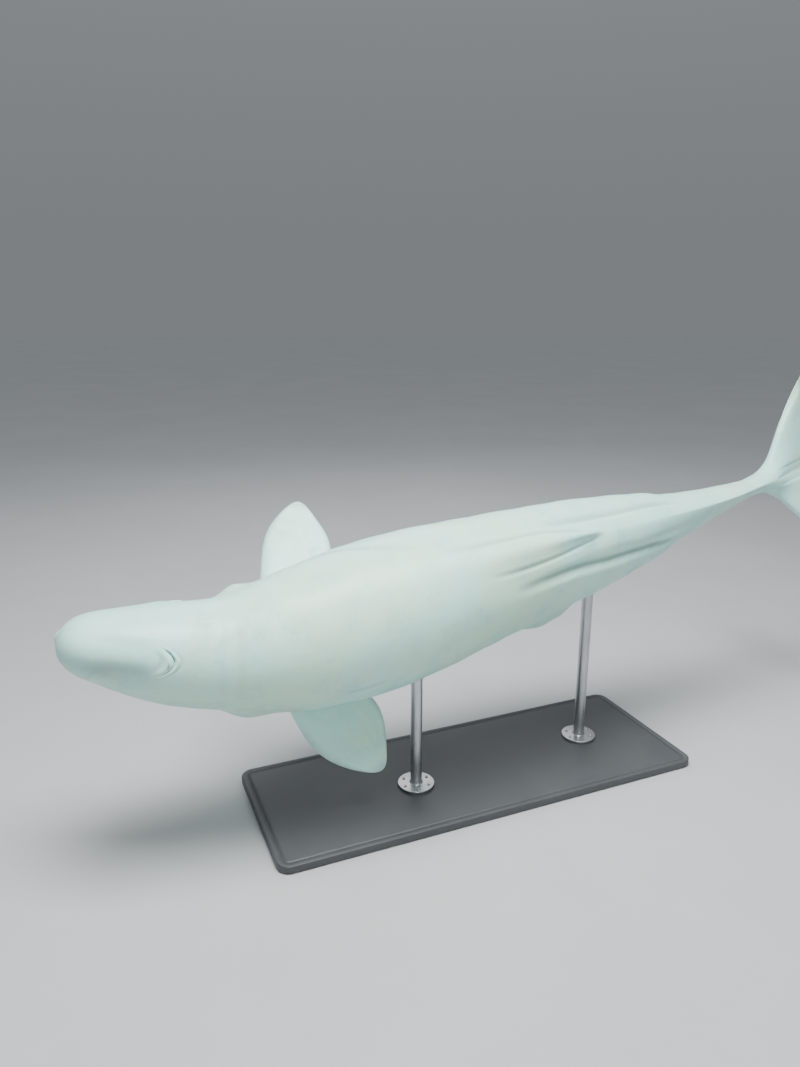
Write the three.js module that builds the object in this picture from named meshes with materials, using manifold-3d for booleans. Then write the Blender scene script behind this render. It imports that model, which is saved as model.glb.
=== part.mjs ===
// A life-size beluga whale gliding on its left side, its back turned to the viewer, on a plain display stand.
// Millimetres, +Z up. The snout points to -X, the flukes to +X, and the origin lies on the floor under the
// middle. On the straight body, x runs from the snout to the flukes, y to the whale's right and z to its
// back. A station is a share of the length, and an angle round the body starts at the middle of the back and
// grows to the right.
import * as THREE from 'three';
import { mergeVertices } from 'three/addons/utils/BufferGeometryUtils.js';
import Module from 'manifold-3d';

// Driving dimensions
const LENGTH = 4000; // snout to fluke notch
const GAP = 0.3; // clearance between neighbouring pieces
const SNOUT_HEIGHT = 1060; // above the floor
const POSE = { roll: 65.5, climb: 3.2, yaw: 0.9 }; // degrees, of the whole animal

// Sections of the body: station, half width, height above the axis and depth below it, shares of the length
const BODY = [
  [0.0, 0.0295, 0.046, 0.034],
  [0.03, 0.0332, 0.049, 0.039],
  [0.06, 0.0412, 0.056, 0.048],
  [0.1, 0.0502, 0.061, 0.058],
  [0.135, 0.0547, 0.061, 0.066],
  [0.17, 0.0596, 0.065, 0.075],
  [0.21, 0.07, 0.072, 0.087],
  [0.26, 0.0788, 0.08, 0.094],
  [0.33, 0.084, 0.086, 0.098],
  [0.41, 0.0796, 0.087, 0.098],
  [0.49, 0.0713, 0.084, 0.093],
  [0.57, 0.0612, 0.077, 0.084],
  [0.65, 0.05, 0.066, 0.069],
  [0.73, 0.036, 0.052, 0.053],
  [0.81, 0.0224, 0.039, 0.037],
  [0.88, 0.0138, 0.027, 0.025],
  [0.91, 0.0117, 0.021, 0.02],
  [1.0, 0.0117, 0.008, 0.007],
];

// The melon's round front: how far back it reaches, how full it is, and its rings up to a share of full size
const MELON_FRONT = { length: 0.041, power: 2.6, rings: 9, last: 0.9 };

// Bend of the axis: station, heading to the right and twist, in degrees
const AXIS = [
  [0.0, -16.2, 11.4],
  [0.11, -16.2, 6.4],
  [0.2, -1.5, 0.4],
  [0.3, 5.5, -6.6],
  [0.45, 5.9, -9.4],
  [0.6, 5.3, -6.2],
  [0.75, 6.5, -0.5],
  [0.9, 8.3, 9.5],
  [1.0, 8.6, 9.5],
];
const AXIS_END = 1.04;
const AXIS_STEPS = 520;

// Sharpening of the section towards a keel along back and belly: station and added power
const KEEL = [
  [0.45, 0.0],
  [0.6, 0.12],
  [0.72, 0.4],
  [0.82, 0.65],
  [0.88, 0.6],
];

// Soft relief: heights in millimetres, stations as shares, angles in degrees from the middle of the back
const RIDGE = { height: 30, from: 0.37, full: 0.52, falls: 0.575, ends: 0.603, angle: 4 };
const RIDGE_SPREAD = { wide: 12, narrow: 5, from: 0.48, to: 0.6 };
const GROOVE = { height: -14, from: 0.42, full: 0.58, falls: 0.7, ends: 0.78, spread: 6 };
const GROOVE_LINE = [
  [0.4, 18],
  [0.5, 25],
  [0.6, 27],
  [0.66, 33],
  [0.72, 37],
  [0.78, 36],
];
const FLANK_FOLD = { height: 16, from: 0.46, full: 0.62, falls: 0.712, ends: 0.745, angle: 66, spread: 26 };
const BELLY_FOLD = { height: 78, from: 0.48, full: 0.55, falls: 0.57, ends: 0.63, angle: 119, spread: 11 };
const SHOULDER = { height: 52, at: 0.18, along: 0.023, angle: 111, spread: 15 };
const BROW = { height: 6, at: 0.088, along: 0.012, angle: 97, spread: 10 };

// Head, in shares of the length: the beak under the melon, the cheeks, and the mouth line up to its hinge
const BEAK = { reach: 0.0155, down: -0.0315, tall: 0.0125, half: 0.027, blunt: 3, ends: 0.065 };
const CHEEK = { narrowing: 0.16, from: 0.25, full: 0.7, fades: 0.03, gone: 0.09 };
const MOUTH = { front: -0.0325, corner: 0.066, rise: 0.0105, power: 2.6, hinge: 0.08 };
const JAW_BLOCK = { ahead: 0.03, below: -0.12, width: 0.16, steps: 10 };

// Eyes: station, angle from the back, and millimetres. The blowhole is a crescent with its horns forward
const EYE = { station: 0.107, angle: 95, radius: 22, proud: 3.5, around: 16, rows: 10 };
const BLOWHOLE = { station: 0.108, angle: -6, spread: 14, horns: 0.0095, radius: 7, steps: 10, sides: 8 };

// Leading edge of the flukes: share of the way to the tips, station and half span
const FLUKE_LEAD = [
  [0.0, 0.88, 0.014],
  [0.1, 0.899, 0.0118],
  [0.2, 0.9195, 0.0135],
  [0.32, 0.9375, 0.02],
  [0.46, 0.9535, 0.035],
  [0.6, 0.968, 0.055],
  [0.74, 0.985, 0.08],
  [0.87, 1.005, 0.105],
  [1.0, 1.026, 0.128],
];
const FLUKE = {
  lobe: 0.01,
  notch: 0.024,
  notchHalf: 0.1,
  thick: 0.0085,
  thinning: 0.9,
  edge: 0.0008,
  flex: 1.25,
  rows: 14,
};
const FLUKE_SPINE = { half: 0.022, fade: 1.2 }; // the tail stock's ridge running out between the lobes
const LEAD_RISES = 0.1; // share from which the leading edge's half span grows

// Flippers: span share, half chord, shift aft, half thickness and upward curl, shares of the length
const FLIPPER_PLAN = [
  [0.0, 0.03, 0.004, 0.009, 0.0],
  [0.25, 0.0378, 0.0048, 0.0072, 0.0],
  [0.5, 0.0426, 0.0052, 0.0055, 0.001],
  [0.75, 0.0366, 0.0028, 0.004, 0.003],
  [0.9, 0.0278, -0.0008, 0.0028, 0.005],
  [1.0, 0.0222, -0.0022, 0.0018, 0.007],
];
const FLIPPER = {
  span: 0.128,
  inside: 0.3,
  station: 0.243,
  aside: 0.052,
  down: -0.045,
  tipPower: 5,
  camber: 0.35,
};
const FLIPPER_MESH = { sides: 20, rows: 11, crowding: 1.7 };
const FLIPPER_SET = {
  right: { side: 1, sweep: 32, droop: 10, feather: 14 },
  left: { side: -1, sweep: 27.5, droop: 16, feather: -10 },
};

// Stand, in millimetres, with its rods at two stations of the body
const BASE = { length: 2200, width: 800, thick: 40, corner: 60, bevel: 4, arcs: 5, x: -180, y: 10 };
const ROD = {
  radius: 28,
  flange: 90,
  flangeThick: 14,
  collar: 8,
  collarTall: 22,
  pad: 62,
  padTall: 70,
  sides: 24,
};
const ROD_STATIONS = { front: 0.375, rear: 0.635 };

// Lengths of the body, each a piece of its own
const ROUND = 40; // facets round the body
const PARTS = [
  { name: 'head', from: 0, to: 0.125, rings: 11 },
  { name: 'neck', from: 0.125, to: 0.2, rings: 5 },
  { name: 'chest', from: 0.2, to: 0.42, rings: 8 },
  { name: 'flank', from: 0.42, to: 0.66, rings: 13 },
  { name: 'tail_stock', from: 0.66, to: 0.88, rings: 8 },
];

const RAD = Math.PI / 180;

// Curves and small functions

/** Natural cubic spline through rows of x and the value in the given column. */
function spline(rows, column) {
  const x = rows.map((row) => row[0]);
  const y = rows.map((row) => row[column]);
  const last = x.length - 1;
  const bend = new Array(last + 1).fill(0);
  const upper = new Array(last + 1).fill(0);
  const known = new Array(last + 1).fill(0);
  for (let i = 1; i < last; i++) {
    const before = x[i] - x[i - 1];
    const after = x[i + 1] - x[i];
    const pivot = 2 * (before + after) - before * upper[i - 1];
    const turn = 6 * ((y[i + 1] - y[i]) / after - (y[i] - y[i - 1]) / before);
    upper[i] = after / pivot;
    known[i] = (turn - before * known[i - 1]) / pivot;
  }
  for (let i = last - 1; i > 0; i--) bend[i] = known[i] - upper[i] * bend[i + 1];
  return (value) => {
    const at = Math.min(Math.max(value, x[0]), x[last]);
    let i = 0;
    while (i < last - 1 && at >= x[i + 1]) i++;
    const width = x[i + 1] - x[i];
    const past = at - x[i];
    const left = width - past;
    return (
      (bend[i] * left ** 3 + bend[i + 1] * past ** 3) / (6 * width) +
      (y[i] / width - (bend[i] * width) / 6) * left +
      (y[i + 1] / width - (bend[i + 1] * width) / 6) * past
    );
  };
}

/** Straight lines through rows of x and y, level beyond both ends. */
function polyline(rows) {
  return (at) => {
    if (at <= rows[0][0]) return rows[0][1];
    for (let i = 1; i < rows.length; i++) {
      const [x0, y0] = rows[i - 1];
      const [x1, y1] = rows[i];
      if (at <= x1) return y0 + ((y1 - y0) * (at - x0)) / (x1 - x0);
    }
    return rows[rows.length - 1][1];
  };
}

/** Smooth step from 0 at a to 1 at b. */
function smooth(a, b, value) {
  const t = Math.min(Math.max((value - a) / (b - a), 0), 1);
  return t * t * (3 - 2 * t);
}

/** Rises over a feature's first stretch and falls over its last. */
function window(value, { from, full, falls, ends }) {
  return smooth(from, full, value) * (1 - smooth(falls, ends, value));
}

/** Bell curve about a centre. */
function bell(value, centre, spread) {
  return Math.exp(-(((value - centre) / spread) ** 2));
}

const halfWidth = spline(BODY, 1);
const heightAbove = spline(BODY, 2);
const depthBelow = spline(BODY, 3);
const heading = spline(AXIS, 1);
const twist = spline(AXIS, 2);
const keel = polyline(KEEL);
const grooveAngle = polyline(GROOVE_LINE);
const leadStation = spline(FLUKE_LEAD, 1);
const leadHalf = spline(FLUKE_LEAD, 2);
const flipperHalf = spline(FLIPPER_PLAN, 1);
const flipperShift = spline(FLIPPER_PLAN, 2);
const flipperThick = spline(FLIPPER_PLAN, 3);
const flipperCurl = spline(FLIPPER_PLAN, 4);

/** Places along the bent axis, summed from its heading in small steps. */
function axisLine() {
  const places = [new THREE.Vector3()];
  const half = (AXIS_END * LENGTH) / AXIS_STEPS / 2;
  for (let i = 0; i < AXIS_STEPS; i++) {
    const place = places[i].clone();
    for (const end of [i, i + 1]) {
      const turn = heading((end / AXIS_STEPS) * AXIS_END) * RAD;
      place.x += half * Math.cos(turn);
      place.y += half * Math.sin(turn);
    }
    places.push(place);
  }
  return places;
}

const axisPlaces = axisLine();

/** Moves a point of the straight body, in millimetres, onto the bent and twisted axis. */
function bent(x, y, z) {
  const station = Math.min(Math.max(x / LENGTH, 0), AXIS_END - 1 / AXIS_STEPS);
  const share = (station / AXIS_END) * AXIS_STEPS;
  const i = Math.floor(share);
  const turn = heading(station) * RAD;
  const roll = twist(station) * RAD;
  const along = new THREE.Vector3(Math.cos(turn), Math.sin(turn), 0);
  const side = new THREE.Vector3(-Math.sin(turn), Math.cos(turn), 0);
  const up = new THREE.Vector3(0, 0, 1);
  return axisPlaces[i]
    .clone()
    .lerp(axisPlaces[i + 1], share - i)
    .addScaledVector(along, x - station * LENGTH)
    .addScaledVector(side, y * Math.cos(roll) - z * Math.sin(roll))
    .addScaledVector(up, y * Math.sin(roll) + z * Math.cos(roll));
}

// The body's surface

/** Height of the soft relief over the plain section, in millimetres. */
function relief(station, degrees) {
  const aside = Math.abs(degrees);
  const narrowing = smooth(RIDGE_SPREAD.from, RIDGE_SPREAD.to, station);
  const ridgeSpread = RIDGE_SPREAD.wide + (RIDGE_SPREAD.narrow - RIDGE_SPREAD.wide) * narrowing;
  const shoulder = SHOULDER.height * bell(station, SHOULDER.at, SHOULDER.along);
  return (
    RIDGE.height * window(station, RIDGE) * bell(degrees, RIDGE.angle, ridgeSpread) +
    GROOVE.height * window(station, GROOVE) * bell(aside, grooveAngle(station), GROOVE.spread) +
    FLANK_FOLD.height * window(station, FLANK_FOLD) * bell(aside, FLANK_FOLD.angle, FLANK_FOLD.spread) +
    BELLY_FOLD.height * window(station, BELLY_FOLD) * bell(aside, BELLY_FOLD.angle, BELLY_FOLD.spread) +
    shoulder * bell(aside, SHOULDER.angle, SHOULDER.spread) +
    BROW.height * bell(station, BROW.at, BROW.along) * bell(aside, BROW.angle, BROW.spread)
  );
}

/** Point of the straight body at a station and an angle, moved out by some millimetres. */
function bodyPoint(station, angle, grown = 0) {
  const sine = Math.sin(angle);
  const cosine = Math.cos(angle);
  const t = Math.min(station / MELON_FRONT.length, 1);
  const cap = Math.sqrt(1 - (1 - t) ** MELON_FRONT.power);
  const wide = halfWidth(station) * cap * LENGTH;
  const high = (cosine > 0 ? heightAbove(station) : depthBelow(station)) * cap * LENGTH;
  const outward = new THREE.Vector2(sine / wide, cosine / high).normalize();
  const rise = relief(station, Math.atan2(sine, cosine) / RAD) + grown;
  const low = smooth(CHEEK.from, CHEEK.full, -cosine) * (1 - smooth(CHEEK.fades, CHEEK.gone, station));
  const plain = wide * Math.sign(sine) * Math.abs(sine) ** (1 + keel(station));
  const y = (plain + outward.x * rise) * (1 - CHEEK.narrowing * low);
  const z = high * cosine + outward.y * rise;
  const lips = Math.exp(-(Math.abs((z / LENGTH - BEAK.down) / BEAK.tall) ** BEAK.blunt));
  const reach = BEAK.reach * lips * bell(y / LENGTH, 0, BEAK.half) * (1 - smooth(0, BEAK.ends, station));
  return [(station - reach) * LENGTH, y, z];
}

/** The foremost point of the melon, where its rings draw together. */
function frontPoint(grown = 0) {
  const nearly = MELON_FRONT.length * 1e-6;
  const [x, , z] = bodyPoint(nearly, Math.PI / 2);
  return bent(x - grown, 0, z);
}

/** Stations of a length of the body. Those over the melon's front are spread by their size. */
function stationsOf({ from, to, rings }) {
  const list = [];
  if (from === 0) {
    for (let i = 1; i <= MELON_FRONT.rings; i++) {
      const size = (i / MELON_FRONT.rings) * MELON_FRONT.last;
      list.push(MELON_FRONT.length * (1 - (1 - size ** 2) ** (1 / MELON_FRONT.power)));
    }
  } else {
    list.push(from);
  }
  const start = list[list.length - 1];
  for (let i = 1; i <= rings; i++) list.push(start + (to - start) * (i / rings));
  return list;
}

/** One ring round the bent body. */
function bodyRing(station, grown = 0) {
  const step = (2 * Math.PI) / ROUND;
  return Array.from({ length: ROUND }, (_, j) => bent(...bodyPoint(station, j * step, grown)));
}

// Closed surfaces

/** Volume inside a surface, negative where its faces look inwards. */
function volumeOf(geometry) {
  const place = geometry.getAttribute('position');
  const index = geometry.getIndex();
  const corners = [new THREE.Vector3(), new THREE.Vector3(), new THREE.Vector3()];
  let volume = 0;
  for (let i = 0; i < index.count; i += 3) {
    corners.forEach((corner, k) => corner.fromBufferAttribute(place, index.getX(i + k)));
    volume += corners[0].dot(corners[1].cross(corners[2])) / 6;
  }
  return volume;
}

/** Turns a closed surface's faces round where they look inwards. */
function facingOut(geometry) {
  if (volumeOf(geometry) < 0) geometry.setIndex([...geometry.getIndex().array].reverse());
  return geometry;
}

/** Closed surface from loops of points. Without an end point the last loop is sewn across. */
function loft(loops, startPoint, endPoint) {
  const around = loops[0].length;
  const start = loops.length * around;
  const end = start - around;
  const points = [...loops.flat(), startPoint, ...(endPoint ? [endPoint] : [])];
  const faces = [];
  for (let j = 0; j < around; j++) {
    const next = (j + 1) % around;
    faces.push(start, next, j);
    for (let here = 0; here < end; here += around) {
      const there = here + around;
      faces.push(here + j, here + next, there + next, here + j, there + next, there + j);
    }
    if (endPoint) faces.push(start + 1, end + j, end + next);
  }
  if (!endPoint) {
    for (let j = 0, k = around - 1; j < k; j++, k--) {
      if (k - j > 1) faces.push(end + j, end + j + 1, end + k);
      if (k - j > 2) faces.push(end + j + 1, end + k - 1, end + k);
    }
  }
  const geometry = new THREE.BufferGeometry().setFromPoints(points);
  geometry.setIndex(faces);
  return facingOut(geometry);
}

/** The middle of the straight line between two points of a loop. */
function between(loop, j, k) {
  return loop[j].clone().lerp(loop[k], 0.5);
}

/** One length of the body, a little short of its neighbours. */
function bodyLength(part) {
  const stations = stationsOf(part);
  const last = stations.length - 1;
  if (part.from > 0) stations[0] += GAP / 2 / LENGTH;
  stations[last] -= GAP / 2 / LENGTH;
  const start = part.from > 0 ? bent(stations[0] * LENGTH, 0, 0) : frontPoint();
  return loft(stations.map((station) => bodyRing(station)), start, bent(stations[last] * LENGTH, 0, 0));
}

/** The body from snout to tail stock as one piece, grown a little, for cutting what touches it. */
function grownBody(grown) {
  const trunk = PARTS.filter((part) => part.name !== 'tail_stock');
  const stations = trunk.flatMap((part) => stationsOf(part).slice(part.from > 0 ? 1 : 0));
  const end = stations[stations.length - 1];
  const rings = stations.map((station) => bodyRing(station, grown));
  return loft(rings, frontPoint(grown), bent(end * LENGTH, 0, 0));
}

// Flukes

const tipStation = leadStation(1);
const tipHalf = leadHalf(1);

/** Station of the trailing edge at a share of the half span. */
function trailingEdge(share) {
  const aside = Math.min(Math.abs(share), 1);
  const lobe = FLUKE.lobe * Math.max(1 - aside ** 2.4, 0) ** 0.9;
  return tipStation + lobe - FLUKE.notch * Math.exp(-((aside / FLUKE.notchHalf) ** 1.3));
}

/** Station of the leading edge at a distance aside of the middle, found by halving. */
function leadingEdge(aside) {
  if (aside <= leadHalf(LEAD_RISES)) return leadStation(0);
  let low = LEAD_RISES;
  let high = 1;
  while (high - low > 1e-4) {
    const middle = (low + high) / 2;
    if (leadHalf(middle) < aside) low = middle;
    else high = middle;
  }
  return leadStation(low);
}

/** Point of the flukes at a share of the way from stock to trailing edge, and an angle round the section. */
function flukePoint(v, angle) {
  const cosine = Math.cos(angle);
  const flat = Math.abs(cosine);
  const rounded = Math.abs(Math.sin(angle)) ** (1 + keel(leadStation(0)) * (1 - smooth(0, 0.35, v)));
  const even = 1 - Math.abs(Math.abs(angle) / (Math.PI / 2) - 1);
  const share = Math.sign(angle) * (rounded + (even - rounded) * smooth(0.3, 1, v));
  const y = leadHalf(v) * share;
  const x = leadStation(v) + (trailingEdge(share) - tipStation) * v ** 1.5;
  const lead = leadingEdge(Math.abs(y));
  const chord = Math.max(trailingEdge(y / tipHalf) - lead, FLUKE.edge);
  const c = Math.min(Math.max((x - lead) / chord, 0), 1);
  const foil = (Math.sqrt(c) * (1 - c) * 3 * Math.sqrt(3)) / 2;
  const tapered = FLUKE.thick * (1 - (y / tipHalf) ** 2 * FLUKE.thinning);
  const thick = tapered * foil * Math.min(v * 3, 1) * Math.min(flat * 6, 1);
  const blade = (thick + FLUKE.edge * Math.min(flat * 4, 1)) * smooth(0, 0.15, v);
  const stock = (cosine > 0 ? heightAbove(x) : depthBelow(x)) * flat;
  const narrow = Math.exp(-((y / FLUKE_SPINE.half) ** 2) * Math.min(v * 6, 1));
  const spine = stock * narrow * (1 - v) ** FLUKE_SPINE.fade;
  const z = Math.sign(cosine) * (spine + blade) + FLUKE.flex * y * y * smooth(0, 0.4, v);
  return [x * LENGTH, y * LENGTH, z * LENGTH];
}

/** One lobe of the flukes: half loops from back to belly, closed by a flat wall along the middle. */
function flukeLobe(side) {
  const steps = ROUND / 2;
  const loops = [];
  for (let i = 0; i <= FLUKE.rows; i++) {
    const v = (i / FLUKE.rows) ** 1.1;
    const loop = [];
    for (let j = 0; j <= steps; j++) {
      const [x, y, z] = flukePoint(v, side * Math.PI * (j / steps));
      loop.push(bent(x + (i === 0 ? GAP / 2 : 0), side * Math.max(Math.abs(y), GAP / 2), z));
    }
    loops.push(loop);
  }
  return loft(loops, between(loops[0], 0, steps));
}

// Flippers

/** A loop round a flipper at a share of its span. */
function flipperLoop(set, t) {
  const sweep = set.sweep * RAD;
  const droop = set.droop * RAD;
  const feather = set.feather * RAD;
  const out = new THREE.Vector3(
    Math.sin(sweep),
    set.side * Math.cos(sweep) * Math.cos(droop),
    -Math.cos(sweep) * Math.sin(droop),
  );
  const aft = new THREE.Vector3(
    Math.cos(sweep),
    -set.side * Math.sin(sweep) * Math.cos(droop),
    Math.sin(sweep) * Math.sin(droop),
  );
  const flat = aft.clone().cross(out).multiplyScalar(set.side);
  const chordWay = aft.clone().multiplyScalar(Math.cos(feather)).addScaledVector(flat, Math.sin(feather));
  const backWay = flat.multiplyScalar(Math.cos(feather)).addScaledVector(aft, -Math.sin(feather));
  const tip = Math.sqrt(Math.max(1 - Math.max(t, 0) ** FLIPPER.tipPower, 0));
  return Array.from({ length: FLIPPER_MESH.sides }, (_, k) => {
    const angle = (k / FLIPPER_MESH.sides) * 2 * Math.PI;
    const along = -Math.cos(angle);
    const foil = Math.sin(angle) * (1 - FLIPPER.camber * along);
    const point = new THREE.Vector3(FLIPPER.station, set.side * FLIPPER.aside, FLIPPER.down)
      .addScaledVector(out, t * FLIPPER.span)
      .addScaledVector(chordWay, flipperShift(t) + flipperHalf(t) * tip * along)
      .addScaledVector(backWay, flipperCurl(t) + flipperThick(t) * tip ** 0.7 * foil)
      .multiplyScalar(LENGTH);
    return bent(point.x, point.y, point.z);
  });
}

/** A flipper from inside the chest to its tip, before the chest is cut from it. */
function flipperBlank(set) {
  const { sides, rows, crowding } = FLIPPER_MESH;
  const loops = [flipperLoop(set, -FLIPPER.inside)];
  for (let i = 0; i < rows; i++) loops.push(flipperLoop(set, 1 - (1 - i / rows) ** crowding));
  return loft(loops, between(loops[0], 0, sides / 2), between(flipperLoop(set, 1), 0, sides / 2));
}

// Cutting and joining

const wasm = await Module();
wasm.setup();

/** A closed geometry as a solid. */
function solid(geometry) {
  const bare = geometry.clone();
  bare.deleteAttribute('normal');
  bare.deleteAttribute('uv');
  const merged = mergeVertices(bare);
  const vertProperties = new Float32Array(merged.getAttribute('position').array);
  const triVerts = new Uint32Array(merged.getIndex().array);
  return new wasm.Manifold(new wasm.Mesh({ numProp: 3, vertProperties, triVerts }));
}

/** A solid as a geometry. */
function surface(body) {
  const mesh = body.getMesh();
  const geometry = new THREE.BufferGeometry();
  geometry.setAttribute('position', new THREE.BufferAttribute(mesh.vertProperties, 3));
  geometry.setIndex(new THREE.BufferAttribute(mesh.triVerts, 1));
  return geometry;
}

// Materials

const skin = () => new THREE.MeshStandardMaterial({ color: 0xd2e8df, roughness: 0.45, metalness: 0 });
const eyeDark = () => new THREE.MeshStandardMaterial({ color: 0x1c1512, roughness: 0.08, metalness: 0 });
const paint = () => new THREE.MeshStandardMaterial({ color: 0x3a3f42, roughness: 0.55, metalness: 0 });
const steel = () => new THREE.MeshStandardMaterial({ color: 0xb8bcbf, roughness: 0.32, metalness: 1 });

/** A named mesh. */
function piece(name, geometry, material) {
  geometry.computeVertexNormals();
  const mesh = new THREE.Mesh(geometry, material);
  mesh.name = name;
  return mesh;
}

// Head

/** Where an eye's centre lies, sunk in the side of the head. */
function eyeCentre(side) {
  const [x, y, z] = bodyPoint(EYE.station, side * EYE.angle * RAD, EYE.proud - EYE.radius);
  return bent(x, y, z);
}

/** Everything below the mouth line and ahead of the hinge, grown to leave a gap beside it. */
function jawBlock(grown) {
  const back = MOUTH.hinge * LENGTH + grown;
  const outline = [new THREE.Vector2(-JAW_BLOCK.ahead * LENGTH, MOUTH.front * LENGTH + grown)];
  for (let i = 0; i <= JAW_BLOCK.steps; i++) {
    const x = (i / JAW_BLOCK.steps) * MOUTH.hinge;
    const z = MOUTH.front + MOUTH.rise * Math.min(x / MOUTH.corner, 1) ** MOUTH.power;
    outline.push(new THREE.Vector2(i < JAW_BLOCK.steps ? x * LENGTH : back, z * LENGTH + grown));
  }
  outline.push(new THREE.Vector2(back, JAW_BLOCK.below * LENGTH));
  outline.push(new THREE.Vector2(-JAW_BLOCK.ahead * LENGTH, JAW_BLOCK.below * LENGTH));
  const depth = JAW_BLOCK.width * LENGTH;
  const block = new THREE.ExtrudeGeometry(new THREE.Shape(outline), { depth, bevelEnabled: false });
  block.translate(0, 0, -depth / 2);
  block.rotateX(Math.PI / 2);
  const place = block.getAttribute('position');
  for (let i = 0; i < place.count; i++) {
    const point = bent(place.getX(i), place.getY(i), place.getZ(i));
    place.setXYZ(i, point.x, point.y, point.z);
  }
  return block;
}

/** The blowhole's crescent, as a bent bar half sunk in the head. */
function blowholeBar() {
  const loops = [];
  const centres = [];
  for (let i = 0; i <= BLOWHOLE.steps; i++) {
    const u = ((i / BLOWHOLE.steps) * 2 - 1) * 0.98;
    const station = BLOWHOLE.station - BLOWHOLE.horns * u * u;
    const angle = (BLOWHOLE.angle + BLOWHOLE.spread * u) * RAD;
    const centre = bent(...bodyPoint(station, angle));
    const outward = bent(...bodyPoint(station, angle, 1)).sub(centre).normalize();
    const forward = new THREE.Vector3(-1, 0, 0).addScaledVector(outward, outward.x).normalize();
    const radius = BLOWHOLE.radius * Math.sqrt(1 - u ** 4);
    const loop = Array.from({ length: BLOWHOLE.sides }, (_, k) => {
      const turn = (k / BLOWHOLE.sides) * 2 * Math.PI;
      const point = centre.clone().addScaledVector(forward, radius * Math.cos(turn));
      return point.addScaledVector(outward, radius * Math.sin(turn));
    });
    loops.push(loop);
    centres.push(centre);
  }
  return loft(loops, centres[0], centres[BLOWHOLE.steps]);
}

// The whale

const whale = new THREE.Group();
whale.rotation.set(POSE.roll * RAD, -POSE.climb * RAD, POSE.yaw * RAD, 'ZYX');
whale.position.set(0, 0, SNOUT_HEIGHT);

const lengths = Object.fromEntries(PARTS.map((part) => [part.name, bodyLength(part)]));
let headSolid = solid(lengths.head).subtract(solid(blowholeBar()));
for (const [name, side] of [['right', 1], ['left', -1]]) {
  const centre = eyeCentre(side);
  const socket = new THREE.SphereGeometry(EYE.radius + GAP, EYE.around, EYE.rows);
  socket.translate(centre.x, centre.y, centre.z);
  headSolid = headSolid.subtract(solid(socket));
  const eye = piece(`eye_${name}`, new THREE.SphereGeometry(EYE.radius, EYE.around, EYE.rows), eyeDark());
  eye.position.copy(centre);
  whale.add(eye);
}
whale.add(piece('head', surface(headSolid.subtract(solid(jawBlock(GAP)))), skin()));
whale.add(piece('lower_jaw', surface(headSolid.intersect(solid(jawBlock(0)))), skin()));
for (const name of ['neck', 'chest', 'flank', 'tail_stock']) whale.add(piece(name, lengths[name], skin()));

const cutter = solid(grownBody(GAP));
for (const [name, set] of Object.entries(FLIPPER_SET)) {
  whale.add(piece(`flipper_${name}`, surface(solid(flipperBlank(set)).subtract(cutter)), skin()));
  whale.add(piece(`fluke_${name}`, flukeLobe(set.side), skin()));
}
whale.updateMatrixWorld(true);

// The stand

/** Base plate with round corners and a small bevel. */
function basePlate() {
  const x = BASE.length / 2 - BASE.bevel;
  const y = BASE.width / 2 - BASE.bevel;
  const r = BASE.corner;
  const outline = new THREE.Shape();
  outline.moveTo(-x + r, -y);
  outline.absarc(x - r, -y + r, r, -Math.PI / 2, 0);
  outline.absarc(x - r, y - r, r, 0, Math.PI / 2);
  outline.absarc(-x + r, y - r, r, Math.PI / 2, Math.PI);
  outline.absarc(-x + r, -y + r, r, Math.PI, 1.5 * Math.PI);
  const plate = new THREE.ExtrudeGeometry(outline, {
    depth: BASE.thick - 2 * BASE.bevel,
    bevelThickness: BASE.bevel,
    bevelSize: BASE.bevel,
    bevelSegments: 1,
    curveSegments: BASE.arcs,
  });
  return plate.translate(0, 0, BASE.bevel);
}

/** The body's lowest point at a station, in the room. */
function undersideAt(station) {
  const ring = bodyRing(station).map((point) => point.applyMatrix4(whale.matrixWorld));
  return ring.reduce((low, point) => (point.z < low.z ? point : low));
}

/** A rod with a foot flange and a spreading pad, its top cut to the body's underside. */
function standRod(under, body) {
  const foot = BASE.thick + GAP;
  const flangeTop = foot + ROD.flangeThick;
  const top = under.z + ROD.padTall;
  const profile = [
    [0, foot],
    [ROD.flange, foot],
    [ROD.flange, flangeTop],
    [ROD.radius + ROD.collar, flangeTop],
    [ROD.radius, flangeTop + ROD.collarTall],
    [ROD.radius, under.z - ROD.padTall],
    [ROD.pad, under.z],
    [ROD.pad, top],
    [0, top],
  ].map(([x, y]) => new THREE.Vector2(x, y));
  const lathe = new THREE.LatheGeometry(profile, ROD.sides);
  lathe.rotateX(Math.PI / 2);
  lathe.translate(under.x, under.y, 0);
  return surface(solid(lathe).subtract(body));
}

const beluga = new THREE.Group();
beluga.add(whale);
const bodyInRoom = solid(grownBody(GAP).applyMatrix4(whale.matrixWorld));
const base = piece('stand_base', basePlate(), paint());
base.position.set(BASE.x, BASE.y, 0);
beluga.add(base);
for (const [name, station] of Object.entries(ROD_STATIONS)) {
  const under = undersideAt(station);
  base.position.x += under.x / 2;
  base.position.y += under.y / 2;
  beluga.add(piece(`stand_rod_${name}`, standRod(under, bodyInRoom), steel()));
}

const middle = new THREE.Box3().setFromObject(beluga, true).getCenter(new THREE.Vector3());
beluga.position.set(-middle.x, -middle.y, 0);

export default beluga;
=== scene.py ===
"""A life-size beluga whale gliding on its left side, on a plain display stand.

Metres, in the frame of the solid model: the snout points to -X, the flukes to +X, and Z is up. On the
straight body, x runs from the snout to the flukes, y to the whale's right and z to its back. A station is a
share of the length, and an angle round the body starts at the middle of the back and grows to the right.
"""
import logging
import math
from dataclasses import dataclass, field
from enum import Enum
from functools import cached_property

import bpy
import numpy as np
from mathutils import Matrix


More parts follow.
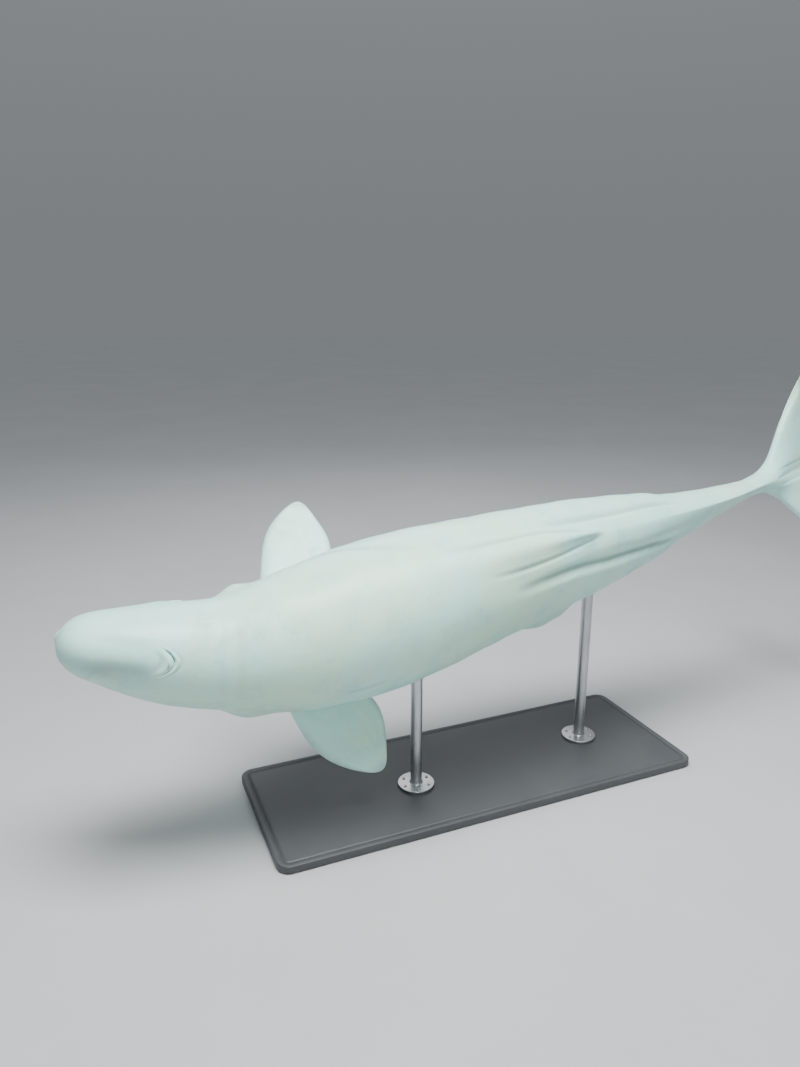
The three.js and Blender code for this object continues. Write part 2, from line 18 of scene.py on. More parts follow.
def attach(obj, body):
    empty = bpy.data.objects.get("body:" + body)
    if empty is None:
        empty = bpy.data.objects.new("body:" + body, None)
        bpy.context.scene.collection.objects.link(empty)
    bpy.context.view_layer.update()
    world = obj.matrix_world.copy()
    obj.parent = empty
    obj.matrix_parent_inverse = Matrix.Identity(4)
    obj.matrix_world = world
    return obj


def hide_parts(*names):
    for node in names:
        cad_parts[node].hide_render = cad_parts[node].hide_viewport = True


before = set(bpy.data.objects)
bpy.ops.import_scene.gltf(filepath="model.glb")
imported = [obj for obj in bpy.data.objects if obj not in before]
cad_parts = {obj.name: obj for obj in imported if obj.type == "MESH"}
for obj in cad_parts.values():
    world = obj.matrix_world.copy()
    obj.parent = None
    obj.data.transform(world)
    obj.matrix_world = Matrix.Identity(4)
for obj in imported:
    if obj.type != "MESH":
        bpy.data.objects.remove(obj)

logging.basicConfig(level=logging.INFO, format="%(message)s")
log = logging.getLogger("beluga")

LENGTH = 4.0
FULL_TURN = 2.0 * math.pi
TINY = 1e-7
Array = np.ndarray
Socket = bpy.types.NodeSocket
Rows = tuple[tuple[float, ...], ...]
Colour = tuple[float, float, float]
Span = tuple[float, float]
Point = tuple[float, float, float]


class Side(Enum):
    """The whale's own right and left."""

    RIGHT = 1
    LEFT = -1


# Curves and small functions


def smooth(start: float, end: float, value: Array) -> Array:
    """Smooth step, three t squared less two t cubed, from 0 at start to 1 at end."""
    t = np.clip((value - start) / (end - start), 0.0, 1.0)
    return t * t * (3.0 - 2.0 * t)


def bell(value: Array, centre: float, spread: float) -> Array:
    """Bell curve, e to the minus square of the distance from the centre over the spread."""
    return np.exp(-(((value - centre) / spread) ** 2))


@dataclass(frozen=True)
class Window:
    """A soft stretch that rises from start to full and falls from falls to ends."""

    start: float
    full: float
    falls: float
    ends: float

    def __call__(self, value: Array) -> Array:
        """How far the stretch has risen at each value, 0 to 1."""
        return smooth(self.start, self.full, value) * (1.0 - smooth(self.falls, self.ends, value))


@dataclass(frozen=True)
class Rise:
    """A rounded rise, or a hollow where its height is below zero."""

    height: float
    centre: float
    spread: float

    def __call__(self, value: Array) -> Array:
        """Its height at each value: a bell about its centre."""
        return self.height * bell(value, self.centre, self.spread)


@dataclass(frozen=True)
class Mound:
    """A rounded rise in two directions, or a hollow where its height is below zero."""

    height: float
    at: float
    along: float
    centre: float
    across: float

    def __call__(self, place: Array, aside: Array) -> Array:
        """Its height: a bell of the place along the body times a bell of the place across it."""
        return self.height * bell(place, self.at, self.along) * bell(aside, self.centre, self.across)


class Spline:
    """Natural cubic spline through rows of places and values, level beyond both ends."""

    def __init__(self, rows: Rows, column: int = 1) -> None:
        """Solves for the second derivative at each row.

        Args:
            rows: Rows that start with a place.
            column: Which value of each row the curve goes through.
        """
        table = np.array(rows, dtype=float)
        self.x, self.y = table[:, 0], table[:, column]
        step = np.diff(self.x)
        slope = np.diff(self.y) / step
        inner = np.arange(1, len(self.x) - 1)
        matrix = np.eye(len(self.x))
        matrix[inner, inner - 1] = step[:-1]
        matrix[inner, inner] = 2.0 * (step[:-1] + step[1:])
        matrix[inner, inner + 1] = step[1:]
        known = np.zeros(len(self.x))
        known[1:-1] = 6.0 * np.diff(slope)
        self.bend = np.linalg.solve(matrix, known)

    def __call__(self, at: Array) -> Array:
        """Values of the curve: the two rows' cubic terms and straight line, blended over the step.

        Args:
            at: Places.

        Returns:
            The curve's value at each.
        """
        at = np.clip(at, self.x[0], self.x[-1])
        i = np.clip(np.searchsorted(self.x, at, side="right") - 1, 0, len(self.x) - 2)
        width = self.x[i + 1] - self.x[i]
        past = at - self.x[i]
        left = width - past
        arch = (self.bend[i] * left**3 + self.bend[i + 1] * past**3) / (6.0 * width)
        first = (self.y[i] / width - self.bend[i] * width / 6.0) * left
        return arch + first + (self.y[i + 1] / width - self.bend[i + 1] * width / 6.0) * past


# Meshes


@dataclass(frozen=True)
class Faces:
    """Faces of any size, as their corners in one row and the number of corners of each."""

    corners: Array
    counts: Array

    @classmethod
    def even(cls, rows: Array) -> "Faces":
        """Faces of one size, a row each."""
        return cls(rows.ravel(), np.full(len(rows), rows.shape[1]))

    @classmethod
    def joined(cls, parts: list["Faces"]) -> "Faces":
        """Several sets of faces as one."""
        return cls(np.concatenate([p.corners for p in parts]), np.concatenate([p.counts for p in parts]))


def make_piece(name: str, points: Array, faces: Faces) -> bpy.types.Object:
    """A smooth-shaded object at the origin from whole arrays.

    Args:
        name: The piece's name.
        points: Vertices, one row each.
        faces: Its faces.

    Returns:
        The object, linked into the scene.
    """
    mesh = bpy.data.meshes.new(name)
    mesh.vertices.add(len(points))
    mesh.vertices.foreach_set("co", points.astype(np.float32).ravel())
    mesh.loops.add(len(faces.corners))
    mesh.loops.foreach_set("vertex_index", faces.corners.astype(np.int32))
    mesh.polygons.add(len(faces.counts))
    starts = np.concatenate([[0], np.cumsum(faces.counts)[:-1]])
    mesh.polygons.foreach_set("loop_start", starts.astype(np.int32))
    mesh.polygons.foreach_set("loop_total", faces.counts.astype(np.int32))
    mesh.update(calc_edges=True)
    mesh.validate()
    mesh.shade_smooth()
    piece = bpy.data.objects.new(name, mesh)
    bpy.context.scene.collection.objects.link(piece)
    return piece


def add_attribute(piece: bpy.types.Object, name: str, values: Array) -> None:
    """Stores values on a piece's vertices, for its material to read.

    Args:
        piece: The piece.
        name: The attribute's name.
        values: A number or a row of three for each vertex.
    """
    kind, slot = ("FLOAT_VECTOR", "vector") if values.ndim == 2 else ("FLOAT", "value")
    made = piece.data.attributes.new(name, kind, "POINT")
    made.data.foreach_set(slot, values.astype(np.float32).ravel())


def ring_faces(rings: int, around: int) -> Array:
    """Four corners of each face of a tube, whose rings run anticlockwise seen from the first ring's end.

    Args:
        rings: Number of rings.
        around: Number of points in each.

    Returns:
        One row of four vertex numbers for each face.
    """
    i, j = np.meshgrid(np.arange(rings - 1), np.arange(around), indexing="ij")
    after = (j + 1) % around
    quads = [i * around + j, i * around + after, (i + 1) * around + after, (i + 1) * around + j]
    return np.stack(quads, axis=-1).reshape(-1, 4)


# The whale's pose


@dataclass(frozen=True)
class Pose:
    """Carries the straight body onto its bent and twisted axis, and that into the room."""

    roll: float = 65.5
    climb: float = 3.2
    yaw: float = 0.9
    snout: Point = (-2.06992718, -0.05184698, 1.06)
    axis: Rows = (
        (0.0, -16.2, 11.4), (0.11, -16.2, 6.4), (0.2, -1.5, 0.4), (0.3, 5.5, -6.6),
        (0.45, 5.9, -9.4), (0.6, 5.3, -6.2), (0.75, 6.5, -0.5), (0.9, 8.3, 9.5),
        (1.0, 8.6, 9.5),
    )
    reach: float = 1.04
    steps: int = 520

    @cached_property
    def heading(self) -> Spline:
        """Heading of the axis to the right, in degrees."""
        return Spline(self.axis, 1)

    @cached_property
    def twist(self) -> Spline:
        """Turn of the sections about the axis, in degrees."""
        return Spline(self.axis, 2)

    @cached_property
    def places(self) -> Array:
        """Points along the axis: the running sum of its direction, averaged over each step's two ends."""
        turn = np.radians(self.heading(np.linspace(0.0, self.reach, self.steps + 1)))
        step = self.reach * LENGTH / self.steps
        way = np.stack([np.cos(turn), np.sin(turn), np.zeros_like(turn)], axis=1)
        sums = np.cumsum((way[:-1] + way[1:]) / 2.0 * step, axis=0)
        return np.concatenate([np.zeros((1, 3)), sums])

    def bent(self, points: Array) -> Array:
        """Moves points of the straight body onto the axis.

        A point keeps its distances aside and upwards of the axis, in the section that is turned by the twist,
        and goes beyond an end of the axis along the heading there.

        Args:
            points: Points of the straight body, one row each.

        Returns:
            The same points round the bent axis.
        """
        station = np.clip(points[:, 0] / LENGTH, 0.0, self.reach - 1.0 / self.steps)
        share = station / self.reach * self.steps
        i = np.floor(share).astype(int)
        part = (share - i)[:, None]
        place = self.places[i] * (1.0 - part) + self.places[i + 1] * part
        turn, roll = np.radians(self.heading(station)), np.radians(self.twist(station))
        ahead = points[:, 0] - station * LENGTH
        aside = points[:, 1] * np.cos(roll) - points[:, 2] * np.sin(roll)
        above = points[:, 1] * np.sin(roll) + points[:, 2] * np.cos(roll)
        shift = [
            ahead * np.cos(turn) - aside * np.sin(turn),
            ahead * np.sin(turn) + aside * np.cos(turn),
            above,
        ]
        return place + np.stack(shift, axis=1)

    def in_room(self, points: Array) -> Array:
        """Straight body's points in the room: bent, rolled, climbing, turned, and moved to the snout's place.

        Args:
            points: Points of the straight body, one row each.

        Returns:
            The same points in the room.
        """
        turns = Matrix.Rotation(math.radians(self.yaw), 3, "Z")
        turns = turns @ Matrix.Rotation(math.radians(-self.climb), 3, "Y")
        turns = turns @ Matrix.Rotation(math.radians(self.roll), 3, "X")
        return self.bent(points) @ np.array(turns).T + np.array(self.snout)


# The body


@dataclass(frozen=True)
class Swell:
    """A soft rise or hollow along the body, the same on both sides of the back."""

    height: float
    along: Window
    spread: float
    line: Rows

    def __call__(self, station: Array, degrees: Array) -> Array:
        """Height of the swell: the window along the body times a bell round its line of angles.

        Args:
            station: Shares of the length.
            degrees: Angles from the back.

        Returns:
            The rise at each place.
        """
        line = np.array(self.line)
        away = (np.abs(degrees) - np.interp(station, line[:, 0], line[:, 1])) / self.spread
        return self.height * self.along(station) * np.exp(-(away**2))


@dataclass(frozen=True)
class BodyShape:
    """The surface of head, trunk and tail stock, without its small features."""

    sections: Rows = (
        (0.0, 0.0295, 0.046, 0.034), (0.03, 0.0332, 0.049, 0.039), (0.06, 0.0412, 0.056, 0.048),
        (0.1, 0.0502, 0.061, 0.058), (0.135, 0.0547, 0.061, 0.066), (0.17, 0.0596, 0.065, 0.075),
        (0.21, 0.07, 0.072, 0.087), (0.26, 0.0788, 0.08, 0.094), (0.33, 0.084, 0.086, 0.098),
        (0.41, 0.0796, 0.087, 0.098), (0.49, 0.0713, 0.084, 0.093), (0.57, 0.0612, 0.077, 0.084),
        (0.65, 0.05, 0.066, 0.069), (0.73, 0.036, 0.052, 0.053), (0.81, 0.0224, 0.039, 0.037),
        (0.88, 0.0138, 0.027, 0.025), (0.91, 0.0117, 0.021, 0.02), (1.0, 0.0117, 0.008, 0.007),
    )
    keel: Rows = ((0.45, 0.0), (0.6, 0.12), (0.72, 0.4), (0.82, 0.65), (0.88, 0.6))
    front: float = 0.041
    front_power: float = 2.6
    beak_reach: float = 0.0155
    beak_down: float = -0.0315
    beak_tall: float = 0.0125
    beak_half: float = 0.027
    beak_power: float = 3.0
    beak_ends: float = 0.065
    cheek: float = 0.16
    cheek_low: Span = (0.25, 0.7)
    cheek_fades: Span = (0.03, 0.09)
    ridge_height: float = 0.030
    ridge: Window = Window(0.37, 0.52, 0.575, 0.603)
    ridge_angle: float = 4.0
    ridge_spread: Span = (12.0, 5.0)
    ridge_narrows: Span = (0.48, 0.6)
    groove: Swell = Swell(
        -0.009,
        Window(0.42, 0.58, 0.7, 0.78),
        6.0,
        ((0.4, 18), (0.5, 25), (0.6, 27), (0.66, 33), (0.72, 37), (0.78, 36)),
    )
    flank_fold: Swell = Swell(0.016, Window(0.46, 0.62, 0.712, 0.745), 26.0, ((0, 66),))
    belly_fold: Swell = Swell(0.078, Window(0.48, 0.55, 0.57, 0.63), 11.0, ((0, 119),))
    shoulder: Mound = Mound(0.052, 0.18, 0.023, 111.0, 15.0)
    brow: Mound = Mound(0.006, 0.088, 0.012, 97.0, 10.0)

    @cached_property
    def half_width(self) -> Spline:
        """Half width of the section."""
        return Spline(self.sections, 1)

    @cached_property
    def above(self) -> Spline:
        """Height of the back over the axis."""
        return Spline(self.sections, 2)

    @cached_property
    def below(self) -> Spline:
        """Depth of the belly under the axis."""
        return Spline(self.sections, 3)

    def sharpness(self, station: Array) -> Array:
        """Power added to the sine of the angle, which draws the section to a keel along back and belly."""
        keel = np.array(self.keel)
        return np.interp(station, keel[:, 0], keel[:, 1])

    def relief(self, station: Array, degrees: Array) -> Array:
        """Height of the back's ridge, the side and belly folds, the shoulder lobes and the brows.

        Args:
            station: Shares of the length.
            degrees: Signed angles from the back.

        Returns:
            The rise at each place. The ridge lies a little right of the middle and narrows to the rear.
        """
        aside = np.abs(degrees)
        wide, narrow = self.ridge_spread
        spread = wide + (narrow - wide) * smooth(*self.ridge_narrows, station)
        ridge = self.ridge_height * self.ridge(station) * bell(degrees, self.ridge_angle, spread)
        mounds = sum(mound(station, aside) for mound in (self.shoulder, self.brow))
        swells = sum(swell(station, degrees) for swell in (self.groove, self.flank_fold, self.belly_fold))
        return ridge + mounds + swells

    def points(self, station: Array, angle: Array, grown: Array | float = 0.0) -> Array:
        """Points of the straight body.

        The section is half an ellipse above the axis and half of another below, its sine raised to one plus
        the sharpness. The front is rounded by the root of one minus a power of what is left of its length.
        The relief and the growth are added along the section's outward direction, the cheeks are drawn in,
        and the beak reaches forward as a bell across and a flat-topped bell downwards.

        Args:
            station: Shares of the length.
            angle: Radians from the middle of the back.
            grown: Metres added outwards.

        Returns:
            One row for each station and angle.
        """
        sine, cosine = np.sin(angle), np.cos(angle)
        cap = np.sqrt(1.0 - (1.0 - np.minimum(station / self.front, 1.0)) ** self.front_power)
        wide = np.maximum(self.half_width(station) * cap * LENGTH, TINY)
        high = np.where(cosine > 0, self.above(station), self.below(station))
        high = np.maximum(high * cap * LENGTH, TINY)
        out = np.hypot(sine / wide, cosine / high)
        rise = self.relief(station, np.degrees(np.arctan2(sine, cosine))) + grown
        low = smooth(*self.cheek_low, -cosine) * (1.0 - smooth(*self.cheek_fades, station))
        plain = wide * np.sign(sine) * np.abs(sine) ** (1.0 + self.sharpness(station))
        y = (plain + sine / wide / out * rise) * (1.0 - self.cheek * low)
        z = high * cosine + cosine / high / out * rise
        lips = np.exp(-(np.abs((z / LENGTH - self.beak_down) / self.beak_tall) ** self.beak_power))
        reach = self.beak_reach * lips * bell(y / LENGTH, 0.0, self.beak_half)
        x = (station - reach * (1.0 - smooth(0.0, self.beak_ends, station))) * LENGTH
        return np.stack([x, y, z], axis=1)


@dataclass(frozen=True)
class Crease:
    """A soft line pressed into the skin, along a smooth curve of stations and angles in degrees."""

    line: Rows
    depth: float
    spread: float
    radius: float
    lip: float = 0.0
    across_belly: bool = False
    samples: int = 20
    fades: float = 0.3
    lip_away: float = 2.2

    def __call__(self, station: Array, degrees: Array) -> Array:
        """Depth as a negative rise: a bell of the distance from the curve, fading at both of its ends.

        The body's radius turns angles into metres, and a low lip runs on both sides of the crease.

        Args:
            station: Shares of the length.
            degrees: Signed angles from the back.

        Returns:
            The rise at each place.
        """
        rows = np.array(self.line)
        at = np.linspace(0.0, 1.0, self.samples + 1)
        ways = np.linspace(0.0, 1.0, len(rows))
        curve = np.stack([Spline(np.stack([ways, rows[:, c]], 1))(at) for c in (0, 1)], axis=1)
        scale = np.array([LENGTH, math.radians(1.0) * self.radius])
        curve = curve * scale
        turned = degrees % 360.0 if self.across_belly else degrees
        place = np.stack([station, turned], axis=1) * scale
        nearest = np.full(len(station), 1e9)
        share = np.zeros(len(station))
        for i in range(self.samples):
            way = curve[i + 1] - curve[i]
            t = np.clip((place - curve[i]) @ way / (way @ way), 0.0, 1.0)
            away = np.linalg.norm(place - curve[i] - t[:, None] * way, axis=1)
            closer = away < nearest
            share = np.where(closer, (i + t) / self.samples, share)
            nearest = np.where(closer, away, nearest)
        fade = smooth(0.0, self.fades, share) * (1.0 - smooth(1.0 - self.fades, 1.0, share))
        pressed = -self.depth * bell(nearest, 0.0, self.spread)
        return fade * (pressed + self.lip * bell(nearest, self.lip_away * self.spread, self.spread))


@dataclass(frozen=True)
class Mouth:
    """The closed mouth: a narrow groove along its line between two soft lips, with a fold at its corner."""

    front: float = -0.0325
    corner: float = 0.066
    climb: float = 0.0105
    power: float = 2.6
    depth: float = 0.008
    groove: Rise = Rise(1.0, 0.0, 0.0040)
    groove_ends: Span = (-0.003, 0.002)
    lips: tuple[Rise, Rise] = (Rise(0.0028, 0.013, 0.008), Rise(0.0028, -0.014, 0.009))
    over_lip: Rise = Rise(-0.0035, 0.056, 0.010)
    over_lip_ends: Span = (0.02, 0.055)
    corner_fold: Mound = Mound(-0.0040, 0.0032, 0.0013, 0.002, 0.015)
    pouch: Mound = Mound(0.0035, 0.008, 0.003, 0.0, 0.018)

    def height(self, x: Array) -> Array:
        """Height of the mouth line at a distance x behind the snout: it climbs by a power of the share."""
        share = np.clip(x / LENGTH / self.corner, 0.0, 1.0)
        return (self.front + self.climb * share**self.power) * LENGTH

    def rise(self, station: Array, plain: Array) -> tuple[Array, Array]:
        """The mouth's relief: bells of the height over its line, which end at the corner.

        Args:
            station: Shares of the length.
            plain: The body's points without detail.

        Returns:
            The rise, and how deep inside the mouth each place lies, 0 to 1, which sets painted shade in the
            groove.
        """
        up = plain[:, 2] - self.height(plain[:, 0])
        behind = station - self.corner
        ahead = 1.0 - smooth(*self.groove_ends, behind)
        groove = self.groove(up) * ahead
        lips = sum(lip(up) for lip in self.lips) * ahead
        over = self.over_lip(up) * (1.0 - smooth(*self.over_lip_ends, station))
        corner = self.corner_fold(behind, up) + self.pouch(behind, up)
        return lips + over + corner - self.depth * groove, groove


@dataclass(frozen=True)
class Lids:
    """The eyes' lids: an almond opening between thick lids that rest on the ball, and the ears behind."""

    body: BodyShape
    station: float = 0.107
    angle: float = 95.0
    half: Span = (0.0150, 0.0078)
    slant: float = 0.14
    arch: float = 5.0
    ball_radius: float = 0.0220
    ball_depth: float = 0.0190
    opening: Span = (0.72, 1.16)
    under_ball: float = 0.004
    deepest: float = 0.010
    rim: Rise = Rise(0.0034, 1.38, 0.40)
    swelling: Rise = Rise(0.0012, 2.3, 1.0)
    fold: Rise = Rise(-0.0024, 2.15, 0.22)
    fold_above: Span = (-0.002, 0.008)
    bag: Mound = Mound(-0.0010, 2.6, 0.3, 0.0, 0.022)
    bag_below: Span = (0.002, 0.010)
    ear: Span = (0.062, -0.012)
    ear_hole: Rise = Rise(-0.0035, 0.0, 0.0028)
    inside_shade_gain: float = 3.2

    def centre(self, side: Side) -> tuple[Array, Array]:
        """Where an eye lies on the plain body, and a point further out from it."""
        station, angle = np.array([self.station]), np.radians([self.angle * side.value])
        return self.body.points(station, angle)[0], self.body.points(station, angle, 0.01)[0]

    def around(self, side: Side, plain: Array) -> tuple[Array, Array, Array]:
        """Places about an eye's centre, along a line that slants a little.

        Args:
            side: Which eye.
            plain: The body's points without detail.

        Returns:
            Metres behind it, metres above it, and the distance in half widths of its arched almond.
        """
        centre, _ = self.centre(side)
        x = plain[:, 0] - centre[0]
        z = plain[:, 2] - centre[2] + self.slant * x
        return x, z, np.hypot(x / self.half[0], (z + self.arch * x * x) / self.half[1])

    def from_ear(self, x: Array, z: Array) -> Array:
        """Distance from the ear's opening of places behind and above the eye."""
        return np.hypot(x - self.ear[0], z - self.ear[1])

    def rise(self, side: Side, plain: Array) -> tuple[Array, Array]:
        """One eye's relief: bells of the distance for the lids, a fold above and one below.

        Inside the opening the skin falls from the lids' rim to a little under the ball, which is a sphere.

        Args:
            side: Which eye.
            plain: The body's points without detail.

        Returns:
            The rise, and how much painted shade lies inside the opening and at its rim at each place, 0 to 1.
        """
        x, z, away = self.around(side, plain)
        near = np.where(plain[:, 1] * side.value > 0, 1.0, 0.0)
        inside = (1.0 - smooth(*self.opening, away)) * near
        lid = self.rim(away) + self.swelling(away)
        fold = self.fold(away) * smooth(*self.fold_above, z)
        bag = self.bag(away, x) * smooth(*self.bag_below, -z)
        ear = self.ear_hole(self.from_ear(x, z))
        ball = np.sqrt(np.maximum(self.ball_radius**2 - x * x - z * z, 0.0)) - self.ball_depth
        under = np.maximum(ball, -self.deepest) - self.under_ball
        rise = (lid + fold + bag + ear) * (1.0 - inside) + under * inside
        return rise * near, np.clip(self.inside_shade_gain * inside, 0.0, 1.0)


@dataclass(frozen=True)
class Blowhole:
    """The blowhole: a crescent slit with its horns forward, and a short second one from its left horn.

    Its places are metres behind the crescent, and shares of its half width to the right.
    """

    station: float = 0.108
    angle: float = -6.0
    spread: float = 14.0
    horns: float = 0.0095
    ends: Span = (0.82, 1.06)
    width: Span = (0.0024, 0.0014)
    depth: float = 0.0085
    # dark and second_dark: how much painted shade fills the slits
    dark: float = 0.72
    openness: float = 0.5
    right_opens: Span = (-0.15, 0.35)
    left_horn: Span = (-0.85, -0.55)
    left_horn_opens: float = 0.35
    second: Rise = Rise(1.0, -0.0195, 0.0026)
    second_arch: float = 0.036
    second_across: Rise = Rise(1.0, -0.36, 0.34)
    second_depth: float = 0.0065
    second_dark: float = 0.66
    plug: Mound = Mound(0.0060, -0.018, 0.013, 0.0, 0.62)
    lip: Mound = Mound(0.0040, 0.011, 0.007, 0.0, 0.95)
    behind_lip: Mound = Mound(-0.0030, 0.025, 0.006, 0.0, 0.9)
    before_plug: Mound = Mound(-0.0035, -0.046, 0.013, 0.0, 0.75)
    right_horn: Mound = Mound(-0.0050, 0.004, 0.006, 0.86, 0.17)

    def around(self, station: Array, degrees: Array) -> tuple[Array, Array]:
        """Metres behind the crescent, which bends forward by the share's square, and the share across."""
        across = (degrees - self.angle) / self.spread
        return (station - (self.station - self.horns * across * across)) * LENGTH, across

    def rise(self, station: Array, degrees: Array) -> tuple[Array, Array]:
        """The blowhole's relief: bells behind the crescent times bells across it.

        The crescent is widest on the right, and the second slit runs straight across.

        Args:
            station: Shares of the length.
            degrees: Signed angles from the back.

        Returns:
            The rise, and how far inside a slit each place lies, 0 to 1, which sets painted shade there.
        """
        back, across = self.around(station, degrees)
        square = across * across
        middle, more = self.width
        width = middle + more * np.clip(1.0 - square, 0.0, 1.0)
        right = (1.0 - self.openness) * smooth(*self.right_opens, across)
        left = self.left_horn_opens * (1.0 - smooth(*self.left_horn, across))
        reach = 1.0 - smooth(*self.ends, np.abs(across))
        slit = np.exp(-((back / width) ** 2)) * reach * (self.openness + right + left)
        second = self.second(back - self.second_arch * square) * self.second_across(across)
        mounds = (self.plug, self.lip, self.behind_lip, self.before_plug, self.right_horn)
        soft = sum(mound(back, across) for mound in mounds)
        rise = soft - self.second_depth * second - self.depth * slit
        return rise, np.maximum(self.dark * slit, self.second_dark * second)


@dataclass(frozen=True)
class SkinSurface:
    """The whole skin of body and head: the body's shape with creases, folds and the features of the head."""

    body: BodyShape = field(default_factory=BodyShape)
    mouth: Mouth = field(default_factory=Mouth)
    blowhole: Blowhole = field(default_factory=Blowhole)
    neck: tuple[Crease, ...] = (
        Crease(((0.149, -78), (0.1515, -40), (0.150, -5), (0.1525, 35), (0.149, 80)), 0.0012, 0.013, 0.25),
        Crease(((0.170, -70), (0.167, -30), (0.1685, 10), (0.166, 60)), 0.0018, 0.018, 0.27),
    )
    above_flippers: tuple[Crease, ...] = (
        Crease(((0.255, -60), (0.273, -62), (0.291, -62), (0.311, -59)), 0.0050, 0.012, 0.33, 0.001),
        Crease(
            ((0.214, 86), (0.250, 77), (0.295, 67), (0.34, 44), (0.388, 29)), 0.0050, 0.018, 0.33, 0.001
        ),
    )
    melon: tuple[Crease, ...] = (
        Crease(((0.010, -44), (0.040, -29), (0.060, -22), (0.080, -22), (0.100, -32)), 0.0065, 0.045, 0.22),
        Crease(((0.020, 30), (0.040, 22), (0.060, 16), (0.078, 13), (0.092, 12)), 0.0020, 0.030, 0.22),
        Crease(((0.030, -55), (0.037, -38), (0.043, -30)), 0.0018, 0.007, 0.22),
    )
    flank_grooves: tuple[Crease, ...] = (
        Crease(
            (
                (0.455, -28), (0.49, -30), (0.54, -30), (0.58, -33),
                (0.622, -37), (0.666, -42), (0.706, -48), (0.75, -53),
            ),
            0.020, 0.017, 0.26, 0.002,
        ),
        Crease(
            ((0.50, 25), (0.56, 26), (0.62, 28), (0.67, 34), (0.72, 37), (0.76, 35)),
            0.007, 0.017, 0.26, 0.001,
        ),
    )
    beside_ridge: tuple[Crease, ...] = (
        Crease(
            ((0.39, 25), (0.43, 18), (0.49, 17), (0.53, 16), (0.57, 8), (0.595, 0)),
            0.0060, 0.014, 0.33, 0.001,
        ),
        Crease(((0.43, -10), (0.47, -13), (0.52, -12), (0.56, -8), (0.595, -3)), 0.0070, 0.010, 0.33, 0.001),
    )
    over_belly_folds: tuple[Crease, ...] = (
        Crease(((0.49, 104), (0.53, 101), (0.57, 101), (0.61, 106)), 0.0100, 0.014, 0.33, 0.002),
        Crease(((0.49, -104), (0.53, -101), (0.57, -101), (0.61, -106)), 0.0100, 0.014, 0.33, 0.002),
    )
    throat: tuple[Crease, ...] = (
        Crease(
            ((0.112, 118), (0.133, 140), (0.144, 180), (0.133, 220), (0.112, 242)),
            0.0050, 0.013, 0.27, 0.001, True,
        ),
        Crease(((0.150, 140), (0.156, 165), (0.156, 195), (0.150, 220)), 0.0030, 0.012, 0.29, 0.001, True),
    )
    chest_sides: tuple[Crease, ...] = (
        Crease(((0.30, 118), (0.33, 114), (0.37, 116)), 0.0050, 0.012, 0.36, 0.001),
        Crease(((0.30, -118), (0.33, -114), (0.37, -116)), 0.0050, 0.012, 0.36, 0.001),
    )
    vent: Crease = Crease(((0.632, 180), (0.655, 180), (0.676, 180)), 0.0070, 0.005, 0.25, 0.003, True)
    navel: Crease = Crease(((0.466, 180), (0.470, 180), (0.474, 180)), 0.0060, 0.006, 0.33, 0.003, True)
    lump_height: float = 0.0016
    lumps_start: Span = (0.11, 0.2)
    full_shade_depth: float = 0.007

    @cached_property
    def lids(self) -> Lids:
        """The eyes' lids, on this body."""
        return Lids(self.body)

    @property
    def creases(self) -> tuple[Crease, ...]:
        """All creases, from the neck to the belly."""
        back = self.neck + self.above_flippers + self.melon + self.flank_grooves + self.beside_ridge
        return back + self.over_belly_folds + self.throat + self.chest_sides + (self.vent, self.navel)

    def lumps(self, station: Array, plain: Array) -> Array:
        """Low uneven swells behind the head: a sine along the body times one across, each bent by another.

        Args:
            station: Shares of the length.
            plain: The body's points without detail.

        Returns:
            The rise at each place.
        """
        x, y, z = plain.T
        along = self.lump_height * np.sin(x * 23.0 + 3.0 * np.sin(z * 9.0 + 1.0))
        return along * np.sin(y * 11.0 + 2.0 * np.sin(x * 7.0)) * smooth(*self.lumps_start, station)

    def detail(self, station: Array, angle: Array) -> tuple[Array, Array, Array]:
        """All small features together.

        Args:
            station: Shares of the length.
            angle: Radians from the middle of the back.

        Returns:
            The rise in metres, how deep in a fold each place lies, and how far inside an opening, 0 to 1;
            both masks set painted shade on the skin.
        """
        degrees = np.degrees(np.arctan2(np.sin(angle), np.cos(angle)))
        plain = self.body.points(station, angle)
        rise, inner = self.mouth.rise(station, plain)
        hole, slit = self.blowhole.rise(station, degrees)
        rise, inner = rise + hole, np.maximum(inner, slit)
        for side in Side:
            lids, inside = self.lids.rise(side, plain)
            rise, inner = rise + lids, np.maximum(inner, inside)
        for crease in self.creases:
            rise = rise + crease(station, degrees)
        # fold: painted shade that grows where the skin is pressed in
        fold = np.clip(-rise / self.full_shade_depth, 0.0, 1.0)
        return rise + self.lumps(station, plain), fold, inner

    def points(self, station: Array, angle: Array) -> tuple[Array, Array, Array]:
        """Straight points of the finished skin: the body's, grown by the rise of its details.

        Args:
            station: Shares of the length.
            angle: Radians from the middle of the back.

        Returns:
            The points, and their fold and opening masks, which set painted shade in hollows and openings.
        """
        rise, fold, inner = self.detail(station, angle)
        return self.body.points(station, angle, rise), fold, inner


# Flukes and flippers


